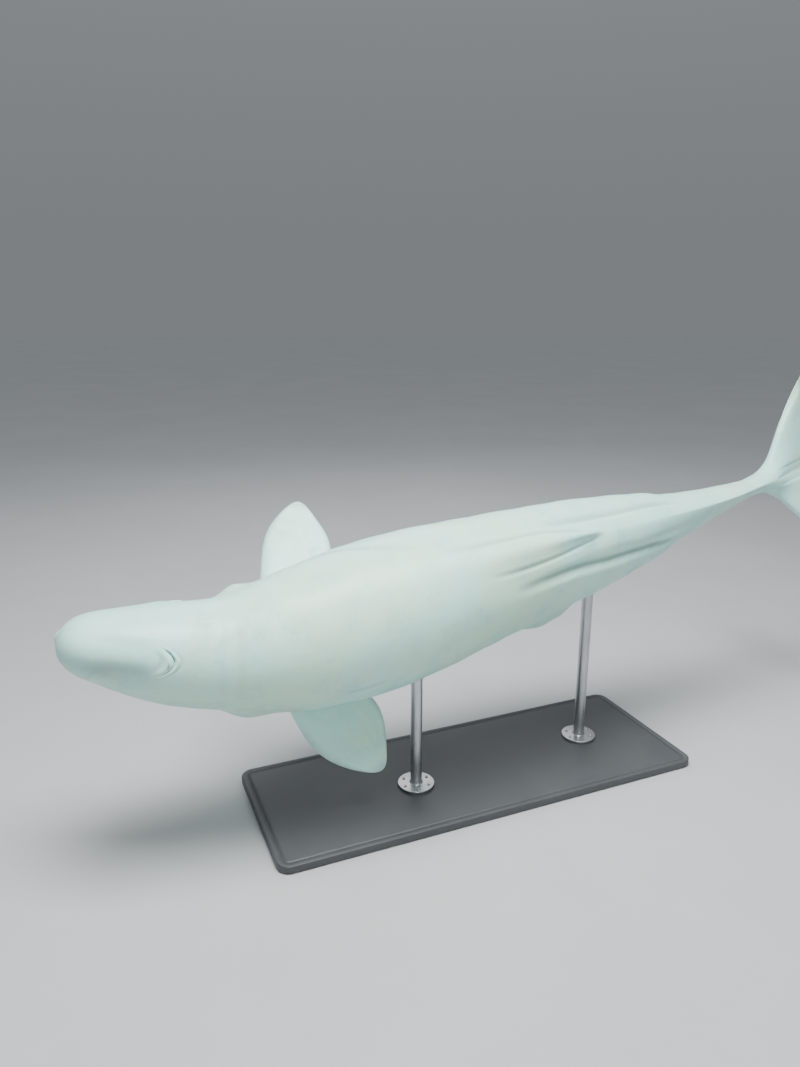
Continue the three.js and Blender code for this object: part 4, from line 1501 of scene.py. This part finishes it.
@dataclass
class StandRod:
    """A round rod with a screwed foot flange and a pad that spreads under the body.

    The screw's head has rows of radius and height over the flange.
    """

    name: str
    station: float
    skin: WhaleSkin
    foot: float = 0.0403
    radius: float = 0.028
    flange: float = 0.09
    flange_thick: float = 0.014
    rounding: float = 0.003
    chamfer: float = 0.001
    collar: float = 0.008
    collar_tall: float = 0.022
    collar_powers: Span = (1.5, 1.2)
    pad: float = 0.062
    pad_tall: float = 0.07
    pad_power: float = 2.2
    lip: float = 0.003
    lip_below: float = 0.006
    lip_tall: float = 0.008
    sink: float = 0.018
    around: int = 96
    screws: int = 6
    screw_ring: float = 0.066
    screw_start: float = 0.26
    screw_around: int = 20
    screw: Rows = (
        (0.0072, -0.001), (0.0072, 0.0038), (0.0066, 0.0046),
        (0.0040, 0.0046), (0.0036, 0.0042), (0.0034, 0.0012),
    )

    def under(self) -> Array:
        """The body's lowest point at the rod's station."""
        angle = np.radians(np.arange(0.0, 360.0, 9.0))
        ring = self.skin.surface.body.points(np.full(len(angle), self.station), angle)
        ring = self.skin.pose.in_room(ring)
        return ring[ring[:, 2].argmin()]

    def profile(self, top: float) -> Array:
        """Radius and height from the foot to the pad, with rounded edges and hollow curves at collar and pad.

        Args:
            top: Height of the body's lowest point.

        Returns:
            Rows of radius and height.
        """
        turn, rise = np.linspace(0.0, math.pi / 2.0, 8), np.linspace(0.0, 1.0, 14)
        edge, plate, c = self.rounding, self.foot + self.flange_thick, self.chamfer
        foot = np.array([(self.flange - c, self.foot), (self.flange, self.foot + c)])
        rim = np.stack([self.flange - edge * (1 - np.cos(turn)), plate - edge * (1 - np.sin(turn))], axis=1)
        across, upward = self.collar_powers
        hollow = np.stack([
            self.radius + self.collar * (1 - np.sin(turn)) ** across,
            plate + self.collar_tall * (1 - np.cos(turn)) ** upward,
        ], axis=1)
        spread = np.stack([
            self.radius + (self.pad - self.radius) * rise**self.pad_power,
            top - self.pad_tall + (self.pad_tall - self.lip_below) * rise,
        ], axis=1)
        height = top - self.lip_below + self.lip_tall * turn / turn[-1]
        lip = np.stack([self.pad + self.lip * np.sin(2 * turn), height], axis=1)
        return np.concatenate([foot, rim, hollow, spread, lip[1:], [(self.pad, top + self.sink)]])

    def lathe(self, rows: Array, around: int, centre: Array) -> tuple[Array, Faces]:
        """A closed surface of revolution about a vertical line.

        Args:
            rows: Radius and height, from the bottom up.
            around: Number of points in each ring.
            centre: Where the line stands, one row for each copy.

        Returns:
            Points of all copies, and their faces.
        """
        turn = np.linspace(0.0, FULL_TURN, around, endpoint=False)
        ring = np.stack([np.cos(turn), np.sin(turn), np.zeros(around)], axis=1)
        one = (rows[:, None, :1] * ring + rows[:, None, 1:] * np.array([0.0, 0.0, 1.0])).reshape(-1, 3)
        copies = len(centre)
        points = (one[None] + np.concatenate([centre, np.zeros((copies, 1))], axis=1)[:, None]).reshape(-1, 3)
        shift = np.arange(copies)[:, None, None] * len(one)
        tube = (ring_faces(len(rows), around)[None] + shift).reshape(-1, 4)
        caps = np.stack([np.arange(around)[::-1], np.arange(around) + (len(rows) - 1) * around])
        caps = (caps[None] + shift).reshape(-1, around)
        return points, Faces.joined([Faces.even(tube), Faces.even(caps)])

    def build(self) -> bpy.types.Object:
        """The rod with its flange, pad and ring of screws.

        Returns:
            The rod as one object.
        """
        under = self.under()
        body, faces = self.lathe(self.profile(under[2]), self.around, under[None, :2])
        head = np.array(self.screw) + [0.0, self.foot + self.flange_thick]
        turn = np.linspace(0.0, FULL_TURN, self.screws, endpoint=False) + self.screw_start
        places = under[:2] + self.screw_ring * np.stack([np.cos(turn), np.sin(turn)], axis=1)
        screws, own = self.lathe(head, self.screw_around, places)
        faces = Faces.joined([faces, Faces(own.corners + len(body), own.counts)])
        piece = make_piece(f"stand_rod_{self.name}_turned", np.concatenate([body, screws]), faces)
        piece.data.materials.append(SteelFinish().material())
        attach(piece, "root")
        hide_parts(f"stand_rod_{self.name}")
        return piece


# Finishes


class Graph:
    """A node tree of a material, group or world, with short ways to add and join nodes."""

    def __init__(self, tree: bpy.types.NodeTree) -> None:
        """Keeps the tree."""
        self.tree = tree

    def add(self, kind: str, **settings: object) -> bpy.types.Node:
        """A new node.

        Args:
            kind: Its type.
            **settings: Values of its properties, by name.

        Returns:
            The node.
        """
        node = self.tree.nodes.new(kind)
        for name, value in settings.items():
            setattr(node, name, value)
        return node

    def read(self, kind: str, output: str, **settings: object) -> Socket:
        """The named output of a new node."""
        return self.add(kind, **settings).outputs[output]

    def feed(self, node: bpy.types.Node, values: dict[str | int, object]) -> None:
        """Joins outputs to a node's inputs, or writes plain values on them.

        Args:
            node: The node.
            values: An output, number or tuple for each input, by its name or place.
        """
        for name, value in values.items():
            if isinstance(value, Socket):
                self.tree.links.new(value, node.inputs[name])
            else:
                node.inputs[name].default_value = value

    def maths(self, operation: str, first: object, second: object = 0.0) -> Socket:
        """One sum, product or other operation of two numbers.

        Args:
            operation: Its name.
            first: An output or number.
            second: Another.

        Returns:
            The result.
        """
        node = self.add("ShaderNodeMath", operation=operation)
        self.feed(node, {0: first, 1: second})
        return node.outputs[0]

    def span(
        self, value: object, low: object, high: object, start: float = 0.0, end: float = 1.0
    ) -> Socket:
        """A value between low and high turned smoothly into start to end.

        Args:
            value: An output.
            low: Where the span starts.
            high: Where it ends.
            start: The result below it.
            end: The result above it.

        Returns:
            The result.
        """
        node = self.add("ShaderNodeMapRange", interpolation_type="SMOOTHSTEP")
        self.feed(node, dict(enumerate((value, low, high, start, end))))
        return node.outputs[0]

    def blend(self, share: object, first: object, second: object) -> Socket:
        """A colour between two colours.

        Args:
            share: The second colour's share.
            first: An output or a plain colour.
            second: Another.

        Returns:
            The blended colour.
        """
        node = self.add("ShaderNodeMix", data_type="RGBA")
        first, second = ((*value, 1.0) if isinstance(value, tuple) else value for value in (first, second))
        self.feed(node, {0: share, 6: first, 7: second})
        return node.outputs[2]

    def group(self, made: bpy.types.NodeTree, output: str, **values: object) -> Socket:
        """An output of a group that is placed with its own values.

        Args:
            made: The group.
            output: The output's name.
            **values: The group's inputs, by name.

        Returns:
            The output.
        """
        node = self.add("ShaderNodeGroup", node_tree=made)
        self.feed(node, values)
        return node.outputs[output]

    def stretched(self, place: object, scales: Point | None) -> Socket:
        """A place with its three directions scaled.

        Args:
            place: An output with the place.
            scales: Its scales, or nothing to leave it as it is.

        Returns:
            The place.
        """
        if scales is None:
            return place
        node = self.add("ShaderNodeMapping")
        self.feed(node, {"Vector": place, "Scale": scales})
        return node.outputs[0]


def new_group(name: str, inputs: dict[str, str], output: str) -> tuple[Graph, list, bpy.types.Node]:
    """An empty shader node group with named sockets.

    Args:
        name: The group's name.
        inputs: Socket types by name.
        output: Name of its one output, a number.

    Returns:
        The group's graph, its inputs and its output node.
    """
    tree = bpy.data.node_groups.new(name, "ShaderNodeTree")
    for title, kind in inputs.items():
        tree.interface.new_socket(title, in_out="INPUT", socket_type=kind)
    tree.interface.new_socket(output, in_out="OUTPUT", socket_type="NodeSocketFloat")
    graph = Graph(tree)
    given = graph.add("NodeGroupInput")
    return graph, [given.outputs[title] for title in inputs], graph.add("NodeGroupOutput")


@dataclass(frozen=True)
class Noise:
    """Soft noise, with its scale, detail and roughness, and the stretch of its place if it has one."""

    scale: float
    detail: float
    rough: float
    stretch: Point | None = None

    def on(self, graph: Graph, place: object, scale: object = None) -> Socket:
        """The noise at a place.

        Args:
            graph: The graph it joins.
            place: An output with the place.
            scale: An output that takes the place of the scale.

        Returns:
            The noise, 0 to 1.
        """
        node = graph.add("ShaderNodeTexNoise")
        graph.feed(node, {
            "Vector": graph.stretched(place, self.stretch),
            "Scale": self.scale if scale is None else scale,
            "Detail": self.detail,
            "Roughness": self.rough,
        })
        return node.outputs[0]


@dataclass(frozen=True)
class Patches:
    """Uneven patches of a scale, spread between two limits: a broad noise and a closer one, added."""

    scale: float
    low: float
    high: float

    @staticmethod
    def made() -> bpy.types.NodeTree:
        """The group behind them, which all finishes share.

        Returns:
            The group.
        """
        if "mottle" in bpy.data.node_groups:
            return bpy.data.node_groups["mottle"]
        inputs = {"Place": "NodeSocketVector"} | dict.fromkeys(("Scale", "Low", "High"), "NodeSocketFloat")
        graph, (place, scale, low, high), result = new_group("mottle", inputs, "Mask")
        broad = Noise(1.0, 4.0, 0.55).on(graph, place, scale)
        close = Noise(1.0, 5.0, 0.6).on(graph, place, graph.maths("MULTIPLY", scale, 5.3))
        broad, close = graph.maths("MULTIPLY", broad, 0.68), graph.maths("MULTIPLY", close, 0.32)
        graph.feed(result, {"Mask": graph.span(graph.maths("ADD", broad, close), low, high)})
        return graph.tree

    def on(self, graph: Graph, place: object) -> Socket:
        """The patches' mask at a place."""
        return graph.group(self.made(), "Mask", Place=place, Scale=self.scale, Low=self.low, High=self.high)


@dataclass(frozen=True)
class Grain:
    """Fine relief of a scale: close noise and a finer one on top, with the stretch of its place if any."""

    scale: float
    stretch: Point | None = None

    @staticmethod
    def made() -> bpy.types.NodeTree:
        """The group behind it, which all finishes share.

        Returns:
            The group.
        """
        if "grain" in bpy.data.node_groups:
            return bpy.data.node_groups["grain"]
        inputs = {"Place": "NodeSocketVector", "Scale": "NodeSocketFloat"}
        graph, (place, scale), result = new_group("grain", inputs, "Height")
        close = Noise(1.0, 3.0, 0.5).on(graph, place, scale)
        finer = Noise(1.0, 2.0, 0.5).on(graph, place, graph.maths("MULTIPLY", scale, 4.1))
        graph.feed(result, {"Height": graph.maths("ADD", close, graph.maths("MULTIPLY", finer, 0.35))})
        return graph.tree

    def on(self, graph: Graph, place: object) -> Socket:
        """The relief's height at a place."""
        place = graph.stretched(place, self.stretch)
        return graph.group(self.made(), "Height", Place=place, Scale=self.scale)


@dataclass(frozen=True)
class Bump:
    """How strongly a height bends the light, and how many metres a height of 1 stands for."""

    strength: float
    distance: float

    def on(self, graph: Graph, height: object) -> Socket:
        """The bent normal of a height."""
        node = graph.add("ShaderNodeBump")
        graph.feed(node, {"Strength": self.strength, "Distance": self.distance, "Height": height})
        return node.outputs["Normal"]


def new_material(name: str) -> tuple[bpy.types.Material, Graph, bpy.types.Node]:
    """A material with a bare Principled shader.

    Args:
        name: Its name.

    Returns:
        The material, its graph and its shader.
    """
    material = bpy.data.materials.new(name)
    material.use_nodes = True
    graph = Graph(material.node_tree)
    return material, graph, material.node_tree.nodes["Principled BSDF"]


@dataclass(frozen=True)
class SkinFinish:
    """Off-white living skin, with mottling, pale scars, greyer margins, painted shade in its folds and
    hollows, dark painted shade inside its openings, and wrinkles.

    The shares say how much of a colour or height is added, and the spans between which values it grows.
    """

    light: Colour = (0.50, 0.86, 0.775)
    dull: Colour = (0.38, 0.70, 0.635)
    warm: Colour = (0.62, 0.85, 0.66)
    # crease is painted shade in folds and hollows; inner is painted shade inside mouth, blowhole and eye
    # openings
    crease: Colour = (0.24, 0.37, 0.35)
    margin: Colour = (0.34, 0.49, 0.47)
    inner: Colour = (0.055, 0.05, 0.05)
    scar: Colour = (0.88, 0.93, 0.90)
    patches: Patches = Patches(1.7, 0.40, 0.63)
    patch_share: float = 0.75
    blotches: Patches = Patches(6.5, 0.46, 0.70)
    blotch_share: float = 0.6
    scar_lines: Noise = Noise(2.2, 2.0, 0.4, (1.3, 6.0, 6.0))
    scar_width: float = 0.0035
    scarred: Patches = Patches(3.1, 0.52, 0.60)
    scar_share: float = 0.7
    ragged: Noise = Noise(14.0, 4.0, 0.6)
    ragged_span: tuple[float, ...] = (0.3, 0.7, 0.45, 0.95)
    crease_shade_share: float = 0.55
    opening_shade_span: Span = (0.25, 0.85)
    roughness: Span = (0.38, 0.52)
    specular: float = 0.42
    scatter: float = 0.12
    scatter_reach: Point = (0.02, 0.018, 0.014)
    scatter_scale: float = 0.6
    wrinkles: Noise = Noise(1.0, 3.0, 0.5, (30.0, 4.0, 4.0))
    pores: Grain = Grain(85.0)
    swells: Noise = Noise(7.0, 2.0, 0.5)
    heights: tuple[float, ...] = (0.3, 0.16, 1.4, 0.15)
    bump: Bump = Bump(0.5, 0.006)

    def material(self) -> bpy.types.Material:
        """The skin's material, from its masks and from noise on the straight body.

        Returns:
            The material.
        """
        material, graph, shader = new_material("beluga_skin")
        room = graph.read("ShaderNodeTexCoord", "Object")
        body = graph.read("ShaderNodeAttribute", "Vector", attribute_name="straight")
        fold, inner, margin = (
            graph.read("ShaderNodeAttribute", "Fac", attribute_name=name)
            for name in ("fold", "inner", "margin")
        )
        patches, blotches = self.patches.on(graph, body), self.blotches.on(graph, body)
        colour = graph.blend(graph.maths("MULTIPLY", patches, self.patch_share), self.light, self.warm)
        colour = graph.blend(graph.maths("MULTIPLY", blotches, self.blotch_share), colour, self.dull)
        line = graph.maths("ABSOLUTE", graph.maths("SUBTRACT", self.scar_lines.on(graph, body), 0.5))
        thin = graph.span(line, 0.0, self.scar_width, 1.0, 0.0)
        scars = graph.maths("MULTIPLY", thin, self.scarred.on(graph, body))
        colour = graph.blend(graph.maths("MULTIPLY", scars, self.scar_share), colour, self.scar)
        uneven = graph.span(self.ragged.on(graph, body), *self.ragged_span)
        colour = graph.blend(graph.maths("MULTIPLY", margin, uneven), colour, self.margin)
        # painted shade in folds, hollows and round the flippers' roots
        colour = graph.blend(graph.maths("MULTIPLY", fold, self.crease_shade_share), colour, self.crease)
        # painted shade inside the openings
        colour = graph.blend(graph.span(inner, *self.opening_shade_span), colour, self.inner)
        wrinkles, swells = self.wrinkles.on(graph, body), self.swells.on(graph, body)
        height = 0.0
        for part, share in zip((wrinkles, self.pores.on(graph, room), swells, scars), self.heights):
            height = graph.maths("ADD", height, graph.maths("MULTIPLY", part, share))
        graph.feed(shader, {
            "Base Color": colour,
            "Roughness": graph.span(blotches, 0.0, 1.0, *self.roughness),
            "Specular IOR Level": self.specular,
            "Subsurface Weight": self.scatter,
            "Subsurface Radius": self.scatter_reach,
            "Subsurface Scale": self.scatter_scale,
            "Normal": self.bump.on(graph, height),
        })
        return material


@dataclass(frozen=True)
class EyeFinish:
    """A wet dark eye: black pupil, brown iris with faint rays, and a dusky white beyond it.

    The edges are angles from the eye's axis, in radians.
    """

    pupil: Colour = (0.004, 0.004, 0.005)
    iris: Colour = (0.026, 0.014, 0.009)
    rim: Colour = (0.012, 0.009, 0.008)
    white: Colour = (0.16, 0.13, 0.12)
    rays: Patches = Patches(520.0, 0.35, 0.65)
    pupil_edge: Span = (0.26, 0.34)
    iris_edge: Span = (0.62, 0.78)
    rim_edge: Span = (0.95, 1.15)
    roughness: Span = (0.06, 0.10)
    coat: float = 0.8
    coat_roughness: float = 0.03

    def material(self, side: Side) -> bpy.types.Material:
        """The eye's material, from the angle that each place lies away from the eye's axis.

        Args:
            side: Which eye.

        Returns:
            The material.
        """
        material, graph, shader = new_material(f"beluga_eye_{side.name.lower()}")
        away = graph.read("ShaderNodeAttribute", "Fac", attribute_name="from_axis")
        rays = self.rays.on(graph, graph.read("ShaderNodeTexCoord", "Object"))
        iris = graph.blend(rays, self.iris, self.rim)
        colour = graph.blend(graph.span(away, *self.pupil_edge), self.pupil, iris)
        colour = graph.blend(graph.span(away, *self.iris_edge), colour, self.rim)
        graph.feed(shader, {
            "Base Color": graph.blend(graph.span(away, *self.rim_edge), colour, self.white),
            "Roughness": graph.span(rays, 0.0, 1.0, *self.roughness),
            "Coat Weight": self.coat,
            "Coat Roughness": self.coat_roughness,
        })
        return material


@dataclass(frozen=True)
class PaintFinish:
    """Satin charcoal paint with a fine orange-peel texture, faint smudges and lighter worn edges."""

    colour: Colour = (0.050, 0.055, 0.060)
    faded: Colour = (0.080, 0.086, 0.092)
    worn: Colour = (0.16, 0.165, 0.17)
    smudges: Patches = Patches(2.2, 0.30, 0.75)
    smudge_share: float = 0.6
    sharp_edges: Span = (0.52, 0.60)
    chips: Noise = Noise(60.0, 4.0, 0.65)
    chip_span: Span = (0.45, 0.62)
    wear_share: float = 0.7
    roughness: Span = (0.46, 0.54)
    peel: Grain = Grain(420.0)
    bump: Bump = Bump(0.25, 0.0006)

    def material(self) -> bpy.types.Material:
        """The paint's material.

        Returns:
            The material.
        """
        material, graph, shader = new_material("satin_charcoal_paint")
        room = graph.read("ShaderNodeTexCoord", "Object")
        smudges = self.smudges.on(graph, room)
        colour = graph.blend(graph.maths("MULTIPLY", smudges, self.smudge_share), self.colour, self.faded)
        sharp = graph.span(graph.read("ShaderNodeNewGeometry", "Pointiness"), *self.sharp_edges)
        wear = graph.maths("MULTIPLY", sharp, graph.span(self.chips.on(graph, room), *self.chip_span))
        graph.feed(shader, {
            "Base Color": graph.blend(graph.maths("MULTIPLY", wear, self.wear_share), colour, self.worn),
            "Roughness": graph.span(smudges, 0.0, 1.0, *self.roughness),
            "Normal": self.bump.on(graph, self.peel.on(graph, room)),
        })
        return material


@dataclass(frozen=True)
class SteelFinish:
    """Brushed stainless steel: fine streaks along the rod, with slightly duller patches."""

    bright: Colour = (0.60, 0.61, 0.62)
    dull: Colour = (0.44, 0.45, 0.46)
    streaks: Grain = Grain(900.0, (1.0, 1.0, 0.02))
    streak_span: Span = (0.45, 0.95)
    patches: Patches = Patches(9.0, 0.40, 0.65)
    roughness: Span = (0.32, 0.42)
    bump: Bump = Bump(0.2, 0.0003)

    def material(self) -> bpy.types.Material:
        """The steel's material, made once for both rods.

        Returns:
            The material.
        """
        if "brushed_steel" in bpy.data.materials:
            return bpy.data.materials["brushed_steel"]
        material, graph, shader = new_material("brushed_steel")
        room = graph.read("ShaderNodeTexCoord", "Object")
        streaks = self.streaks.on(graph, room)
        graph.feed(shader, {
            "Base Color": graph.blend(graph.span(streaks, *self.streak_span), self.dull, self.bright),
            "Roughness": graph.span(self.patches.on(graph, room), 0.0, 1.0, *self.roughness),
            "Metallic": 1.0,
            "Normal": self.bump.on(graph, streaks),
        })
        return material


@dataclass(frozen=True)
class FloorFinish:
    """A plain pale floor with a barely uneven tone."""

    pale: Colour = (0.45, 0.465, 0.475)
    paler: Colour = (0.48, 0.495, 0.505)
    clouds: Patches = Patches(0.6, 0.35, 0.7)
    roughness: float = 0.85

    def material(self) -> bpy.types.Material:
        """The floor's material.

        Returns:
            The material.
        """
        material, graph, shader = new_material("pale_floor")
        clouds = self.clouds.on(graph, graph.read("ShaderNodeTexCoord", "Object"))
        graph.feed(shader, {
            "Base Color": graph.blend(clouds, self.pale, self.paler),
            "Roughness": self.roughness,
        })
        return material


# Camera, floor and light


@dataclass(frozen=True)
class Lamp:
    """A soft rectangular light, from its place towards a point, with its width and height and its watts."""

    name: str
    place: Point
    aim: Point
    size: Span
    power: float

    def build(self) -> bpy.types.Object:
        """The light, turned so that it faces its aim, and not seen by the camera.

        Returns:
            The light.
        """
        data = bpy.data.lights.new(self.name, "AREA")
        data.shape = "RECTANGLE"
        data.size, data.size_y = self.size
        data.energy = self.power
        lamp = bpy.data.objects.new(self.name, data)
        x, y, z = np.array(self.aim) - np.array(self.place)
        lamp.location = self.place
        lamp.rotation_euler = (math.atan2(math.hypot(x, y), -z), 0.0, math.atan2(y, x) - math.pi / 2.0)
        lamp.visible_camera = False
        bpy.context.scene.collection.objects.link(lamp)
        return lamp


@dataclass
class Studio:
    """The camera at the photo's angle, a pale floor and soft light.

    The camera turns by its azimuth from +Y and its pitch downwards, in degrees, and its focal length is given
    in pixels of the photo.
    """

    eye_place: Point = (-1.944, -3.186, 2.310)
    azimuth: float = -22.7
    pitch: float = 16.0
    focal_pixels: float = 800.0
    frame_height: int = 1067
    sensor: float = 36.0
    floor_radius: float = 60.0
    floor_around: int = 96
    floor_rings: int = 24
    horizon: Colour = (0.20, 0.215, 0.225)
    zenith: Colour = (0.60, 0.63, 0.65)
    lamps: tuple[Lamp, ...] = (
        Lamp("key", (-1.0, -1.4, 6.2), (-0.2, 0.0, 1.2), (3.6, 2.4), 760.0),
        Lamp("fill", (-1.0, -7.5, 5.0), (0.0, 0.0, 1.0), (6.0, 3.0), 110.0),
        Lamp("back", (1.5, 6.0, 5.2), (0.0, 0.0, 1.0), (6.0, 3.0), 110.0),
    )

    def camera(self) -> bpy.types.Object:
        """The camera, upright and pitched down, with its focal length from the frame's height.

        Returns:
            The camera.
        """
        data = bpy.data.cameras.new("camera")
        data.sensor_width = self.sensor
        data.lens = self.focal_pixels / self.frame_height * self.sensor
        camera = bpy.data.objects.new("camera", data)
        camera.location = self.eye_place
        camera.rotation_euler = (math.radians(90.0 - self.pitch), 0.0, math.radians(self.azimuth))
        bpy.context.scene.collection.objects.link(camera)
        bpy.context.scene.camera = camera
        return camera

    def floor(self) -> bpy.types.Object:
        """The floor: a disc whose rings grow with the square of their number.

        Returns:
            The floor.
        """
        turn = np.linspace(0.0, FULL_TURN, self.floor_around, endpoint=False)
        reach = self.floor_radius * (np.arange(1, self.floor_rings + 1) / self.floor_rings) ** 2
        x, y = reach[:, None] * np.cos(turn), reach[:, None] * np.sin(turn)
        points = np.stack([x, y, np.zeros_like(x)], axis=2).reshape(-1, 3)
        tube = Faces.even(ring_faces(self.floor_rings, self.floor_around)[:, ::-1])
        middle = Faces.even(np.arange(self.floor_around)[None])
        piece = make_piece("floor", points, Faces.joined([tube, middle]))
        piece.data.materials.append(FloorFinish().material())
        return piece

    def build(self) -> None:
        """Floor, surroundings that brighten with the square of the height, and lights."""
        self.floor()
        world = bpy.data.worlds.new("studio")
        world.use_nodes = True
        graph = Graph(world.node_tree)
        split = graph.add("ShaderNodeSeparateXYZ")
        graph.feed(split, {0: graph.read("ShaderNodeTexCoord", "Generated")})
        height = graph.maths("MAXIMUM", split.outputs[2], 0.0)
        colour = graph.blend(graph.maths("MULTIPLY", height, height), self.horizon, self.zenith)
        graph.feed(world.node_tree.nodes["Background"], {"Color": colour})
        bpy.context.scene.world = world
        for lamp in self.lamps:
            lamp.build()


def main() -> None:
    """Builds camera, whale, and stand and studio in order."""
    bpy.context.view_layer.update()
    studio = Studio()
    studio.camera()
    skin = WhaleSkin()
    log.info("skin: %s vertices", len(skin.build().data.vertices))
    for side in Side:
        log.info("eye: %s", Eye(side, skin).build().name)
    log.info("base: %s", StandBase().build().name)
    for name, station in (("front", 0.375), ("rear", 0.635)):
        log.info("rod: %s", StandRod(name, station, skin).build().name)
    studio.build()
    log.info("floor and lights are in place")


if __name__ == "__main__":
    main()
